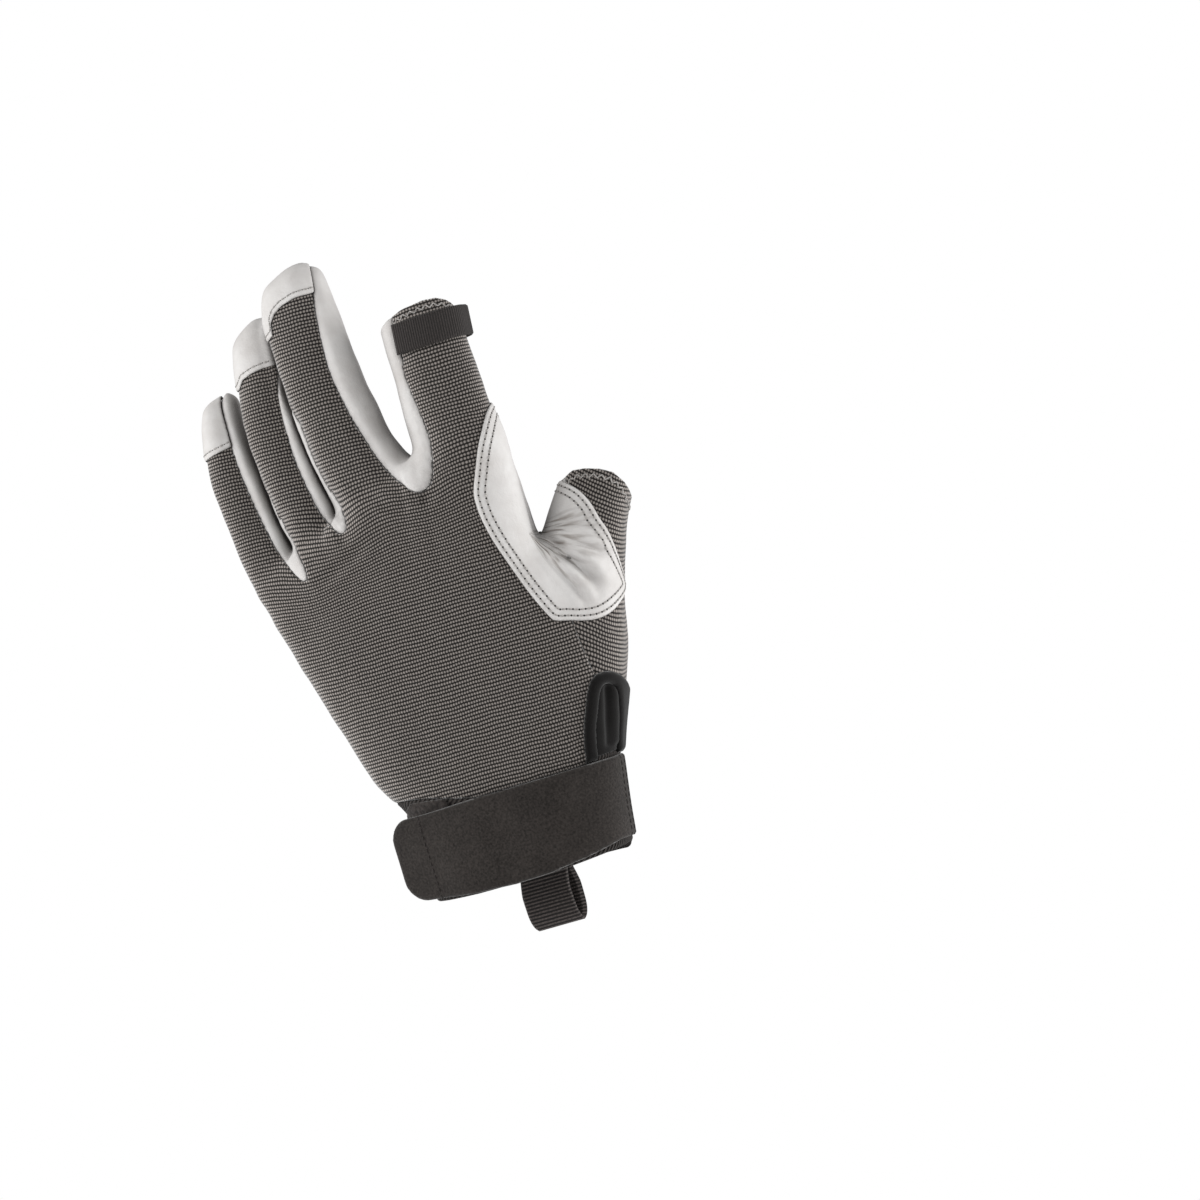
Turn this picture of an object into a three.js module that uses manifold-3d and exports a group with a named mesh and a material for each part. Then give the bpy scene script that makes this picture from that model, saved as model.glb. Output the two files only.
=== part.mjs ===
// A climbing glove for the left hand, as it stands when worn: fingers up, the back of the hand facing -Y,
// the thumb towards +X. Millimetres, +Z up, the origin at the centre of the wrist mouth.
// The hand form is a union of six limbs (hand, four fingers, thumb). The glove is the wall round that form,
// and each cloth or leather panel is the stretch of wall between its own seams.
import * as THREE from "three";
import { mergeVertices } from "three/addons/utils/BufferGeometryUtils.js";
import Module from "manifold-3d";

const wasm = await Module();
wasm.setup();

// Outside sizes of the filled glove
const HAND_WIDTH = 103;
const HAND_DEPTH = 36;
const CROTCH_HEIGHT = 139.6; // wrist mouth to the line of the finger crotches
const WRIST_WIDTH = 81;
const WRIST_DEPTH = 41;
const FINGER_CURL = 18; // how far a fingertip leans towards the palm
const THUMB_REACH = 131;
const THUMB_WIDTH = 38;
const THUMB_DEPTH = 29;
const THUMB_CURL = 22;

// Walls, trims and clearances
const WALL = 1.6;
const SEAM_GAP = 0.3;
const PATCH_WALL = 1.3;
const BAND_WALL = 2.2;
const STRAP_HEIGHT = 32;
const STRAP_THICKNESS = 2;
const STRAP_OVERRUN = 7; // how far the free end runs past the side of the wrist
const PAD_THICKNESS = 1.2;
const BINDING_WIDTH = 4;
const BINDING_THICKNESS = 1.6;
const WEBBING_WIDTH = 19;
const WEBBING_THICKNESS = 1.4;
const LOOP_DROP = 21.5; // below the wrist mouth
const LOOP_OPENING = 3.2; // between the plies of the hanging part
const LOOP_RISE = 27; // up the outside of the cuff
const LOOP_TUCK = 14; // up the inside of the cuff
const TAB_HEIGHT = 12;
const TAB_THICKNESS = 1.2;
const TAB_BULGE = 7; // how far the tab stands off the finger at its fullest
const TAB_FACING = -32; // the tab's angles round the finger, in degrees as the seams
const TAB_FROM = -88;
const TAB_TO = 146;
const TAB_SETBACK = 3; // below the rim of the index finger

// Mesh fineness
const HAND_SIDES = 24;
const FINGER_SIDES = 12;
const STEP_LENGTH = 17; // along a limb
const TIP_RINGS = 3;

const BACKWARDS = new THREE.Vector3(0, -1, 0);
const BEYOND = 90; // past every side of the hand

// Each row is one section of the hand: its centre and size as shares of the hand's own sizes, its tilt in degrees.
// up of CROTCH_HEIGHT, over and wide of HAND_WIDTH (of WRIST_WIDTH at the wrist), deep of the depth there.
const HAND_ROWS = [
  { up: -0.07, over: 0.03, tilt: 0, wide: 0.94, deep: 0.97, at: "wrist" },
  { up: 0.12, over: 0.03, tilt: 0, wide: 0.97, deep: 0.98, at: "wrist" },
  { up: 0.24, over: 0.035, tilt: 0, wide: 1, deep: 1, at: "wrist" },
  { up: 0.34, over: 0.015, tilt: 1, wide: 0.9, deep: 1.08, at: "hand" },
  { up: 0.46, over: 0, tilt: 3, wide: 0.97, deep: 1.08, at: "hand" },
  { up: 0.61, over: -0.05, tilt: 6, wide: 0.98, deep: 1.05, at: "hand" },
  { up: 0.75, over: -0.1, tilt: 12, wide: 0.98, deep: 1, at: "hand" },
  { up: 0.88, over: -0.126, tilt: 18, wide: 0.99, deep: 0.93, at: "hand" },
  { up: 1, over: -0.141, tilt: 21, wide: 1.02, deep: 0.85, at: "hand" },
  { up: 1.045, over: -0.165, tilt: 21, wide: 1, deep: 0.7, at: "hand" },
  { up: 1.07, over: -0.178, tilt: 21, wide: 0.96, deep: 0.45, at: "hand" },
];
const CROTCH_ROW = 8;
const ROOT_TOP = 1.13; // the roots of the fingers, inside the hand, in shares of CROTCH_HEIGHT
// How far the space of a panel reaches out from the middle of a section, in shares of that section
const PANEL_REACH = 1.12;
const TIP_REACH = 1.14;
const ROOT_REACH = 1.6;

// A digit's rows: up of its reach, over of HAND_WIDTH, curl of FINGER_CURL or THUMB_CURL, wide and deep of the
// digit's own width and depth. Seams are in degrees round the section, from the thumb side over the back.
// A cap covers the back of a closed tip: back is its length, lean the slope of its edge in degrees.
const DIGITS = {
  index: {
    reach: 210, width: 30, depth: 21.5, curlSize: FINGER_CURL, open: true,
    seams: { backFrom: -8, backTo: 138, palmFrom: 222, palmTo: 351 },
    rows: [
      { up: 0.52, over: 0.14, curl: -0.03, wide: 0.8, deep: 0.8 },
      { up: 0.64, over: 0.194, curl: -0.05, wide: 1.12, deep: 1.15 },
      { up: 0.715, over: 0.212, curl: -0.03, wide: 1.12, deep: 1.08 },
      { up: 0.81, over: 0.203, curl: 0.06, wide: 1.08, deep: 1 },
      { up: 0.905, over: 0.193, curl: 0.22, wide: 1.02, deep: 0.96 },
      { up: 1, over: 0.177, curl: 0.44, wide: 0.935, deep: 0.93 },
    ],
  },
  middle: {
    reach: 241.3, width: 29.5, depth: 20.5, curlSize: FINGER_CURL, open: false,
    cap: { back: 14, lean: 9 },
    seams: { backFrom: 68, backTo: 135, palmFrom: 227, palmTo: 315 },
    rows: [
      { up: 0.46, over: -0.09, curl: -0.05, wide: 0.75, deep: 0.8 },
      { up: 0.54, over: -0.108, curl: -0.05, wide: 1, deep: 1.15 },
      { up: 0.605, over: -0.124, curl: -0.03, wide: 1.06, deep: 1.08 },
      { up: 0.663, over: -0.15, curl: 0.05, wide: 1.1, deep: 1.03 },
      { up: 0.746, over: -0.2, curl: 0.19, wide: 1.05, deep: 1 },
      { up: 0.829, over: -0.229, curl: 0.39, wide: 1, deep: 0.98 },
      { up: 0.912, over: -0.251, curl: 0.64, wide: 0.96, deep: 0.93 },
      { up: 1, over: -0.241, curl: 0.95, wide: 0.86, deep: 0.84 },
    ],
  },
  ring: {
    reach: 227.5, width: 21, depth: 18.5, curlSize: FINGER_CURL, open: false,
    cap: { back: 20.5, lean: 4 },
    seams: { backFrom: 62, backTo: 140, palmFrom: 227, palmTo: 315 },
    rows: [
      { up: 0.47, over: -0.321, curl: 0, wide: 0.9, deep: 0.85 },
      { up: 0.55, over: -0.375, curl: 0.06, wide: 1, deep: 1.2 },
      { up: 0.617, over: -0.404, curl: 0.11, wide: 0.94, deep: 1.08 },
      { up: 0.703, over: -0.437, curl: 0.22, wide: 1.02, deep: 1.02 },
      { up: 0.79, over: -0.467, curl: 0.47, wide: 1, deep: 1 },
      { up: 0.88, over: -0.471, curl: 0.78, wide: 1, deep: 0.97 },
      { up: 0.945, over: -0.469, curl: 1.11, wide: 0.98, deep: 0.92 },
      { up: 1, over: -0.457, curl: 1.39, wide: 0.9, deep: 0.84 },
    ],
  },
  little: {
    reach: 205, width: 18.6, depth: 17, curlSize: FINGER_CURL, open: false,
    cap: { back: 21, lean: 6 },
    seams: { backFrom: 74, backTo: 184, palmFrom: 186, palmTo: 315 },
    rows: [
      { up: 0.463, over: -0.474, curl: 0.03, wide: 0.95, deep: 0.9 },
      { up: 0.55, over: -0.531, curl: 0.08, wide: 1.06, deep: 1.2 },
      { up: 0.62, over: -0.576, curl: 0.17, wide: 1.04, deep: 1.12 },
      { up: 0.7, over: -0.618, curl: 0.33, wide: 1.05, deep: 1.05 },
      { up: 0.79, over: -0.655, curl: 0.56, wide: 1.03, deep: 1 },
      { up: 0.88, over: -0.675, curl: 0.83, wide: 1, deep: 0.96 },
      { up: 0.945, over: -0.67, curl: 1.11, wide: 0.92, deep: 0.88 },
      { up: 1, over: -0.65, curl: 1.33, wide: 0.8, deep: 0.8 },
    ],
  },
  thumb: {
    reach: THUMB_REACH, width: THUMB_WIDTH, depth: THUMB_DEPTH, curlSize: THUMB_CURL, open: true,
    rows: [
      { up: 0.3, over: 0.26, curl: 0.03, wide: 0.72, deep: 0.75 },
      { up: 0.46, over: 0.331, curl: 0.1, wide: 0.96, deep: 1.08 },
      { up: 0.58, over: 0.394, curl: 0.22, wide: 0.97, deep: 1.1 },
      { up: 0.71, over: 0.433, curl: 0.42, wide: 0.92, deep: 1.05 },
      { up: 0.83, over: 0.496, curl: 0.64, wide: 0.8, deep: 0.95 },
      { up: 0.92, over: 0.548, curl: 0.83, wide: 0.72, deep: 0.87 },
      { up: 1, over: 0.603, curl: 1, wide: 0.68, deep: 0.83 },
    ],
  },
};
const POWER = { hand: 2.6, finger: 2.3 }; // 2 is an ellipse, more is squarer

// Solids

/** Turns a closed three.js geometry into a solid for joining and cutting. */
function solidOf(geometry) {
  const bare = geometry.clone();
  bare.deleteAttribute("normal");
  bare.deleteAttribute("uv");
  const merged = mergeVertices(bare, 1e-4);
  return new wasm.Manifold(
    new wasm.Mesh({
      numProp: 3,
      vertProperties: new Float32Array(merged.attributes.position.array),
      triVerts: new Uint32Array(merged.index.array),
    }),
  );
}

/** The largest body of a solid, without the crumbs that a cut can leave. */
function largestBody(solid) {
  return solid.decompose().reduce((a, b) => (b.volume() > a.volume() ? b : a));
}

/** A closed skin through rings with the same number of points, with a fan over each end. */
function skin(rings) {
  const count = rings[0].length;
  const points = rings.flat();
  const faces = [];
  for (let r = 0; r + 1 < rings.length; r++) {
    for (let i = 0; i < count; i++) {
      const j = (i + 1) % count;
      const [a, b, c, d] = [r * count + i, r * count + j, (r + 1) * count + j, (r + 1) * count + i];
      faces.push(a, b, c, a, c, d);
    }
  }
  for (const [ring, start, flip] of [[rings[0], 0, true], [rings.at(-1), (rings.length - 1) * count, false]]) {
    const middle = points.length;
    points.push(ring.reduce((sum, p) => sum.add(p), new THREE.Vector3()).divideScalar(count));
    for (let i = 0; i < count; i++) {
      const j = (i + 1) % count;
      faces.push(middle, start + (flip ? j : i), start + (flip ? i : j));
    }
  }
  const edge = new THREE.Vector3();
  let volume = 0;
  for (let f = 0; f < faces.length; f += 3) {
    volume += edge.crossVectors(points[faces[f]], points[faces[f + 1]]).dot(points[faces[f + 2]]);
  }
  const geometry = new THREE.BufferGeometry().setFromPoints(points);
  geometry.setIndex(volume > 0 ? faces : faces.reverse());
  return solidOf(geometry);
}

/** A prism of a front-view outline, [x, z] points, between two depths. */
function prism(outline, fromY, toY) {
  const shape = new THREE.Shape(outline.map(([x, z]) => new THREE.Vector2(x, z)));
  const body = new THREE.ExtrudeGeometry(shape, { depth: toY - fromY, bevelEnabled: false });
  return solidOf(body.rotateX(Math.PI / 2).translate(0, toY, 0));
}

/** Points of a front-view line given as shares: over of HAND_WIDTH, up of CROTCH_HEIGHT. */
function frontLine(rows) {
  return rows.map(({ over, up }) => [over * HAND_WIDTH, up * CROTCH_HEIGHT]);
}

/** The same front-view line as a smooth curve with a point every few millimetres. */
function smoothLine(rows, points) {
  const knots = frontLine(rows).map(([x, z]) => new THREE.Vector2(x, z));
  return new THREE.SplineCurve(knots).getPoints(points).map((p) => [p.x, p.y]);
}

// Limbs

/** A point of the superellipse of half sizes a and b at an angle. */
function roundPoint(a, b, power, degrees) {
  const t = THREE.MathUtils.degToRad(degrees);
  const bent = (v) => Math.sign(v) * Math.abs(v) ** (2 / power);
  return [a * bent(Math.cos(t)), b * bent(Math.sin(t))];
}

/** A section: centre, the directions across and to the back of the hand, and half sizes. */
function section(centre, normal, halfWide, halfDeep) {
  const back = BACKWARDS.clone().addScaledVector(normal, -BACKWARDS.dot(normal)).normalize();
  const across = new THREE.Vector3().crossVectors(normal, back).normalize();
  return { centre, normal, across, back, halfWide, halfDeep };
}

function pointOn(cut, x, y) {
  return cut.centre.clone().addScaledVector(cut.across, x).addScaledVector(cut.back, y);
}

/** The value of a column at a share of a table's length, with smooth ends to each stretch. */
function column(rows, name, share) {
  const place = share * (rows.length - 1);
  const low = Math.min(Math.floor(place), rows.length - 2);
  return THREE.MathUtils.lerp(rows[low][name], rows[low + 1][name], place - low);
}

function handSections() {
  return HAND_ROWS.map((row) => {
    const [wide, deep] = row.at === "wrist" ? [WRIST_WIDTH, WRIST_DEPTH] : [HAND_WIDTH, HAND_DEPTH];
    const tilt = THREE.MathUtils.degToRad(row.tilt);
    const centre = new THREE.Vector3(row.over * HAND_WIDTH, 0, row.up * CROTCH_HEIGHT);
    const normal = new THREE.Vector3(-Math.sin(tilt), 0, Math.cos(tilt));
    return section(centre, normal, (row.wide * wide) / 2, (row.deep * deep) / 2);
  });
}

function digitSections(digit) {
  const centres = digit.rows.map(
    (row) => new THREE.Vector3(row.over * HAND_WIDTH, row.curl * digit.curlSize, row.up * digit.reach),
  );
  const line = new THREE.CatmullRomCurve3(centres);
  const steps = Math.round(line.getLength() / STEP_LENGTH);
  const cuts = [];
  for (let i = 0; i <= steps; i++) {
    const share = i / steps;
    cuts.push(
      section(
        line.getPoint(share),
        line.getTangent(share),
        (column(digit.rows, "wide", share) * digit.width) / 2,
        (column(digit.rows, "deep", share) * digit.depth) / 2,
      ),
    );
  }
  return cuts;
}

/** A limb's sections, grown outwards, with a round tip or a longer open end where grown is below zero. */
function grownSections(limb, grown) {
  const cuts = limb.sections.map((cut) => ({
    ...cut,
    halfWide: cut.halfWide + grown,
    halfDeep: cut.halfDeep + grown,
  }));
  if (limb.end === "web") {
    for (const cut of cuts.slice(CROTCH_ROW)) cut.centre = cut.centre.clone().addScaledVector(cut.normal, grown);
  } else {
    cuts[0].centre = cuts[0].centre.clone().addScaledVector(cuts[0].normal, -grown);
  }
  if (limb.end === "round") {
    const last = cuts.at(-1);
    const dome = Math.min(last.halfWide, last.halfDeep);
    const foot = last.centre.clone().addScaledVector(last.normal, grown - dome);
    while (cuts.at(-1).centre.clone().sub(foot).dot(last.normal) > -STEP_LENGTH / 4) cuts.pop();
    for (let i = 0; i <= TIP_RINGS; i++) {
      const turn = (i / TIP_RINGS) * 0.42 * Math.PI;
      cuts.push({
        ...last,
        centre: foot.clone().addScaledVector(last.normal, dome * Math.sin(turn)),
        halfWide: last.halfWide * Math.cos(turn) ** 0.8,
        halfDeep: last.halfDeep * Math.cos(turn) ** 0.8,
      });
    }
  }
  return cuts;
}

/** Lengthens the open ends of a cavity or cutter, so that it runs past what it cuts. */
function lengthened(cuts, start, end) {
  const first = cuts[0];
  const last = cuts.at(-1);
  const longer = [...cuts];
  if (start) longer.unshift({ ...first, centre: first.centre.clone().addScaledVector(first.normal, -start) });
  if (end) longer.push({ ...last, centre: last.centre.clone().addScaledVector(last.normal, end) });
  return longer;
}

function ringOf(cut, limb, from, to, sides, reach) {
  const ring = [];
  for (let i = 0; i <= sides; i++) {
    const [x, y] = roundPoint(cut.halfWide * reach, cut.halfDeep * reach, limb.power, from + ((to - from) * i) / sides);
    ring.push(pointOn(cut, x, y));
  }
  return ring;
}

/** The whole solid of a limb, grown outwards by some millimetres. */
function limbSolid(limb, grown, start = 0, end = 0) {
  const cuts = lengthened(grownSections(limb, grown), start, end);
  return skin(cuts.map((cut) => ringOf(cut, limb, 0, 360, limb.sides, 1).slice(0, -1)));
}

/** A wedge along a limb between two angles round its section, reaching past its surface, grown by some gap. */
function wedge(limb, from, to, last = 1, gap = 0) {
  const all = grownSections(limb, 0);
  const cuts = all.slice(0, Math.round(last * (all.length - 1)) + 1);
  const isHand = limb === limbs.hand;
  const sides = Math.max(3, Math.round((to - from) / 25));
  return skin(
    lengthened(cuts, gap || 0.001, (isHand ? 0 : 3) + gap || 0.001).map((cut) => {
      const far = isHand ? PANEL_REACH : cut.centre.z < ROOT_TOP * CROTCH_HEIGHT ? ROOT_REACH : TIP_REACH;
      const more = THREE.MathUtils.radToDeg((1.3 * gap) / cut.halfDeep);
      const facing = THREE.MathUtils.degToRad((from + to) / 2);
      const apex = pointOn(cut, -1.5 * gap * Math.cos(facing), -1.5 * gap * Math.sin(facing));
      return [apex, ...ringOf(cut, limb, from - more, to + more, sides, far + (1.3 * gap) / cut.halfDeep)];
    }),
  );
}

const limbs = {
  hand: { sections: handSections(), sides: HAND_SIDES, power: POWER.hand, end: "web" },
};
for (const [name, digit] of Object.entries(DIGITS)) {
  limbs[name] = {
    sections: digitSections(digit),
    sides: FINGER_SIDES,
    power: POWER.finger,
    end: digit.open ? "open" : "round",
  };
}
const limbNames = Object.keys(limbs);

/** The outside of the whole hand form, grown by some millimetres. */
function handForm(grown) {
  return wasm.Manifold.union(limbNames.map((name) => limbSolid(limbs[name], grown)));
}

/** The hollow inside the glove, open at the wrist, the index finger and the thumb. */
function handHollow(wall) {
  return wasm.Manifold.union(
    limbNames.map((name) => limbSolid(limbs[name], -wall, name === "hand" ? 5 : 0, DIGITS[name]?.open ? 9 : 0)),
  );
}

// Lines on the glove in the front view: over of HAND_WIDTH, up of CROTCH_HEIGHT

const BACK_HEM = [
  { over: -0.8, up: 0.29 },
  { over: -0.39, up: 0.287 },
  { over: -0.24, up: 0.272 },
  { over: -0.1, up: 0.25 },
  { over: 0.1, up: 0.247 },
  { over: 0.8, up: 0.247 },
];
const PALM_HEM = [
  { over: -0.8, up: 0.236 },
  { over: 0, up: 0.229 },
  { over: 0.25, up: 0.222 },
  { over: 0.8, up: 0.232 },
];
const THUMB_SEAM = [
  { over: 0.43, up: -0.2 },
  { over: 0.43, up: 0.45 },
  { over: 0.41, up: 0.6 },
  { over: 0.395, up: 0.75 },
  { over: 0.39, up: 0.85 },
  { over: 0.39, up: 1.5 },
];
const THUMB_DIAGONAL = [
  { over: 0.05, up: -0.2 },
  { over: 0.078, up: 0.215 },
  { over: 0.136, up: 0.287 },
  { over: 0.28, up: 0.4 },
  { over: 0.41, up: 0.523 },
  { over: 0.47, up: 0.62 },
  { over: 0.54, up: 0.78 },
  { over: 0.62, up: 0.95 },
  { over: 0.72, up: 1.2 },
];
const GUSSET = [
  { over: 0.325, up: 0.24, side: -1 },
  { over: 0.375, up: 0.34, side: -1 },
  { over: 0.43, up: 0.418, side: -1 },
  { over: 0.47, up: 0.418, side: 1 },
  { over: 0.452, up: 0.34, side: 1 },
  { over: 0.42, up: 0.24, side: 1 },
];
const BINDING_LINE = [
  { over: 0.322, up: 0.262 },
  { over: 0.362, up: 0.345 },
  { over: 0.405, up: 0.42 },
  { over: 0.435, up: 0.446 },
  { over: 0.465, up: 0.446 },
  { over: 0.488, up: 0.42 },
  { over: 0.475, up: 0.345 },
  { over: 0.443, up: 0.262 },
];
const PATCH_BACK = [
  { over: 0.44, up: 1.25 },
  { over: 0.358, up: 1.215 },
  { over: 0.282, up: 1.125 },
  { over: 0.218, up: 1.03 },
  { over: 0.201, up: 0.945 },
  { over: 0.233, up: 0.845 },
  { over: 0.286, up: 0.73 },
  { over: 0.345, up: 0.627 },
  { over: 0.44, up: 0.602 },
  { over: 0.54, up: 0.605 },
  { over: 0.602, up: 0.655 },
  { over: 0.613, up: 0.76 },
  { over: 0.592, up: 0.86 },
  { over: 0.545, up: 0.935 },
  { over: 0.46, up: 0.99 },
];
const PATCH_PALM = [
  { over: 0.45, up: 1.22 },
  { over: 0.3, up: 1.1 },
  { over: 0.215, up: 1.09 },
  { over: 0.165, up: 0.95 },
  { over: 0.13, up: 0.86 },
  { over: 0.075, up: 0.745 },
  { over: 0.2, up: 0.71 },
  { over: 0.3, up: 0.69 },
  { over: 0.4, up: 0.72 },
  { over: 0.49, up: 0.84 },
  { over: 0.53, up: 0.94 },
  { over: 0.46, up: 1 },
];
const BACK_EDGE = 0.37 * HAND_WIDTH; // past this the back of the glove leans with the thumb
const EDGE_POINTS = 24;

/** A front-view frame round everything, from which the spaces are cut. */
const everything = prism(
  [[-2 * BEYOND, -BEYOND], [2 * BEYOND, -BEYOND], [2 * BEYOND, 4 * BEYOND], [-2 * BEYOND, 4 * BEYOND]],
  -BEYOND,
  BEYOND,
);

/** The half of space on the back of the hand, whose boundary leans with the thumb on its side. */
function backSpace(shift) {
  const edge = BACK_EDGE - shift;
  const flat = prism(
    [[-2 * BEYOND, -BEYOND], [edge + 0.01, -BEYOND], [edge + 0.01, 4 * BEYOND], [-2 * BEYOND, 4 * BEYOND]],
    -BEYOND,
    shift,
  );
  const rows = DIGITS.thumb.rows;
  const [low, high] = [rows[1], rows.at(-1)].map((row) => [row.curl * THUMB_CURL + shift, row.up * THUMB_REACH]);
  const slope = (high[0] - low[0]) / (high[1] - low[1]);
  const top = 1.7 * THUMB_REACH;
  const leaning = [[-BEYOND, -BEYOND], [low[0], -BEYOND], low, [high[0] + slope * (top - high[1]), top], [-BEYOND, top]];
  return flat.add(
    skin([edge, 2 * BEYOND].map((x) => leaning.map(([y, z]) => new THREE.Vector3(x, y, z)))),
  );
}

const backHalf = { tight: backSpace(0), grown: backSpace(SEAM_GAP) };
const palmHalf = { tight: everything.subtract(backHalf.tight), grown: everything.subtract(backSpace(-SEAM_GAP)) };

/** Everything above a front-view line, or on the thumb side of one, through the whole depth. */
function above(rows, shift) {
  const line = frontLine(rows).map(([x, z]) => [x, z + shift]);
  return prism([...line, [line.at(-1)[0], 4 * BEYOND], [line[0][0], 4 * BEYOND]], -BEYOND, BEYOND);
}

function thumbSideOf(rows, shift) {
  const line = frontLine(rows).map(([x, z]) => [x - shift, z]);
  return prism([...line, [2 * BEYOND, line.at(-1)[1]], [2 * BEYOND, line[0][1]]], -BEYOND, BEYOND);
}

/** One space on the back joined to another on the palm, tight or grown by the seam gap. */
function split(fit, back, palm) {
  return back.intersect(backHalf[fit]).add(palm.intersect(palmHalf[fit]));
}

/** The outline of a band of some width along a curve: one side forth, the other side back. */
function bandOutline(curve, width, points) {
  const sides = [[], []];
  for (let i = 0; i <= points; i++) {
    const share = i / points;
    const along = curve.getTangent(share);
    const here = curve.getPoint(share);
    sides[0].push([here.x - (along.y * width) / 2, here.y + (along.x * width) / 2]);
    sides[1].unshift([here.x + (along.y * width) / 2, here.y - (along.x * width) / 2]);
  }
  return sides.flat();
}

/** A sheet that lies on the outside of the glove: its foot stands off the hand form, with a thickness. */
function sheetOn(foot, thickness) {
  return handForm(foot + thickness).subtract(handForm(foot));
}

// The spaces of the panels

const fingerNames = ["index", "middle", "ring", "little"];
const cappedNames = ["middle", "ring", "little"];
const crotchShare = CROTCH_ROW / (HAND_ROWS.length - 1);
const gussetCut = (grow) =>
  prism(frontLine(GUSSET).map(([x, z], index) => [x + GUSSET[index].side * grow, z + grow]), -BEYOND, grow);

/** The space of the cloth on the back or the leather on the palm, over the hand and along every finger. */
function panelSpace(half, from, to, key, fit) {
  const gap = fit === "grown" ? SEAM_GAP : 0;
  const parts = [wedge(limbs.hand, from, to, crotchShare, gap)];
  for (const name of fingerNames) {
    const { seams } = DIGITS[name];
    parts.push(wedge(limbs[name], seams[`${key}From`], seams[`${key}To`], 1, gap));
  }
  parts.push(limbSolid(limbs.thumb, 3 + gap, gap).intersect(half[fit]));
  return wasm.Manifold.union(parts);
}

const thumbSpace = (fit) => {
  const gap = fit === "grown" ? SEAM_GAP : 0;
  return split(fit, thumbSideOf(THUMB_SEAM, gap), thumbSideOf(THUMB_DIAGONAL, Math.SQRT2 * gap));
};
const clothSpace = (fit) => panelSpace(backHalf, -4, 181, "back", fit);
const leatherSpace = (fit) => panelSpace(palmHalf, 181, 356, "palm", fit);

/** What lies past a slanted line near the tip of a finger: the place of its leather cap. */
function capSpace(shift) {
  return wasm.Manifold.union(
    cappedNames.map((name) => {
      const { cap, width, reach, rows } = DIGITS[name];
      const lean = Math.tan(THREE.MathUtils.degToRad(cap.lean)) * width * 0.7;
      const [left, right] = [-0.7, 0.7].map((side) => rows.at(-2).over * HAND_WIDTH + side * width);
      const base = reach - cap.back + shift;
      const past = [[left, base - lean], [right, base + lean], [right, 3 * BEYOND], [left, 3 * BEYOND]];
      return prism(past, -BEYOND, BEYOND).intersect(limbSolid(limbs[name], SEAM_GAP));
    }),
  );
}

/** Thin slots over the middle of each closed tip, where the strips of its two sides end. */
function tipCuts() {
  return wasm.Manifold.union(
    cappedNames.map((name) => {
      const { reach, width, rows } = DIGITS[name];
      const x = rows.at(-1).over * HAND_WIDTH;
      const [left, right] = [x - SEAM_GAP / 2, x + SEAM_GAP / 2];
      return prism([[left, reach - width], [right, reach - width], [right, 3 * BEYOND], [left, 3 * BEYOND]], -BEYOND, BEYOND);
    }),
  );
}

// The panels

const shell = handForm(0).subtract(handHollow(WALL));
const hemLine = (fit, shift) => split(fit, above(BACK_HEM, shift), above(PALM_HEM, shift));
const panels = largestBody(shell.intersect(hemLine("tight", SEAM_GAP / 2)).subtract(gussetCut(SEAM_GAP / 2)));
const offThumb = panels.subtract(thumbSpace("grown"));
const backCloth = offThumb.intersect(clothSpace("tight"));

/** The bodies of a solid with the most volume, ordered from the little finger to the thumb. */
function bodiesAcross(solid, count) {
  return solid
    .decompose()
    .sort((a, b) => b.volume() - a.volume())
    .slice(0, count)
    .sort((a, b) => a.boundingBox().min[0] - b.boundingBox().min[0]);
}

const backPanel = largestBody(backCloth.subtract(capSpace(-SEAM_GAP)));
const [capLittle, capRing, capMiddle] = bodiesAcross(backCloth.intersect(capSpace(0)), cappedNames.length);
const offBack = offThumb.subtract(clothSpace("grown"));
const palmPanel = largestBody(offBack.intersect(leatherSpace("tight")));
const [stripLittle, stripRing, stripMiddle] = bodiesAcross(
  offBack.subtract(leatherSpace("grown")).subtract(tipCuts()),
  cappedNames.length,
);
const thumbPanel = largestBody(panels.intersect(thumbSpace("tight")));

// The patch over the thumb crotch

const patchShape = (rows) => prism(smoothLine([...rows, rows[0]], EDGE_POINTS), -BEYOND, BEYOND);
const thumbPatch = largestBody(
  sheetOn(SEAM_GAP, PATCH_WALL).intersect(split("tight", patchShape(PATCH_BACK), patchShape(PATCH_PALM))),
);

// The cuff

const bandShell = handForm(0).subtract(handHollow(BAND_WALL));
const aboveMouth = prism([[-BEYOND, 0], [BEYOND, 0], [BEYOND, BEYOND], [-BEYOND, BEYOND]], -BEYOND, BEYOND);
const cuffSpace = everything.subtract(hemLine("grown", -SEAM_GAP / 2)).add(gussetCut(-SEAM_GAP / 2));
const cuffBand = largestBody(bandShell.intersect(cuffSpace).intersect(aboveMouth));

const wrist = limbs.hand.sections[2];
const padTop = 0.278 * CROTCH_HEIGHT;
const padShape = [[-0.345, 0.03], [-0.13, 0.03], [-0.13, 0.254], [-0.2, 0.268], [-0.345, 0.276]];
const loopPad = largestBody(
  sheetOn(SEAM_GAP, PAD_THICKNESS).intersect(
    prism(padShape.map(([over, up]) => [over * HAND_WIDTH, up * CROTCH_HEIGHT]), -BEYOND, 0),
  ),
);

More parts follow.
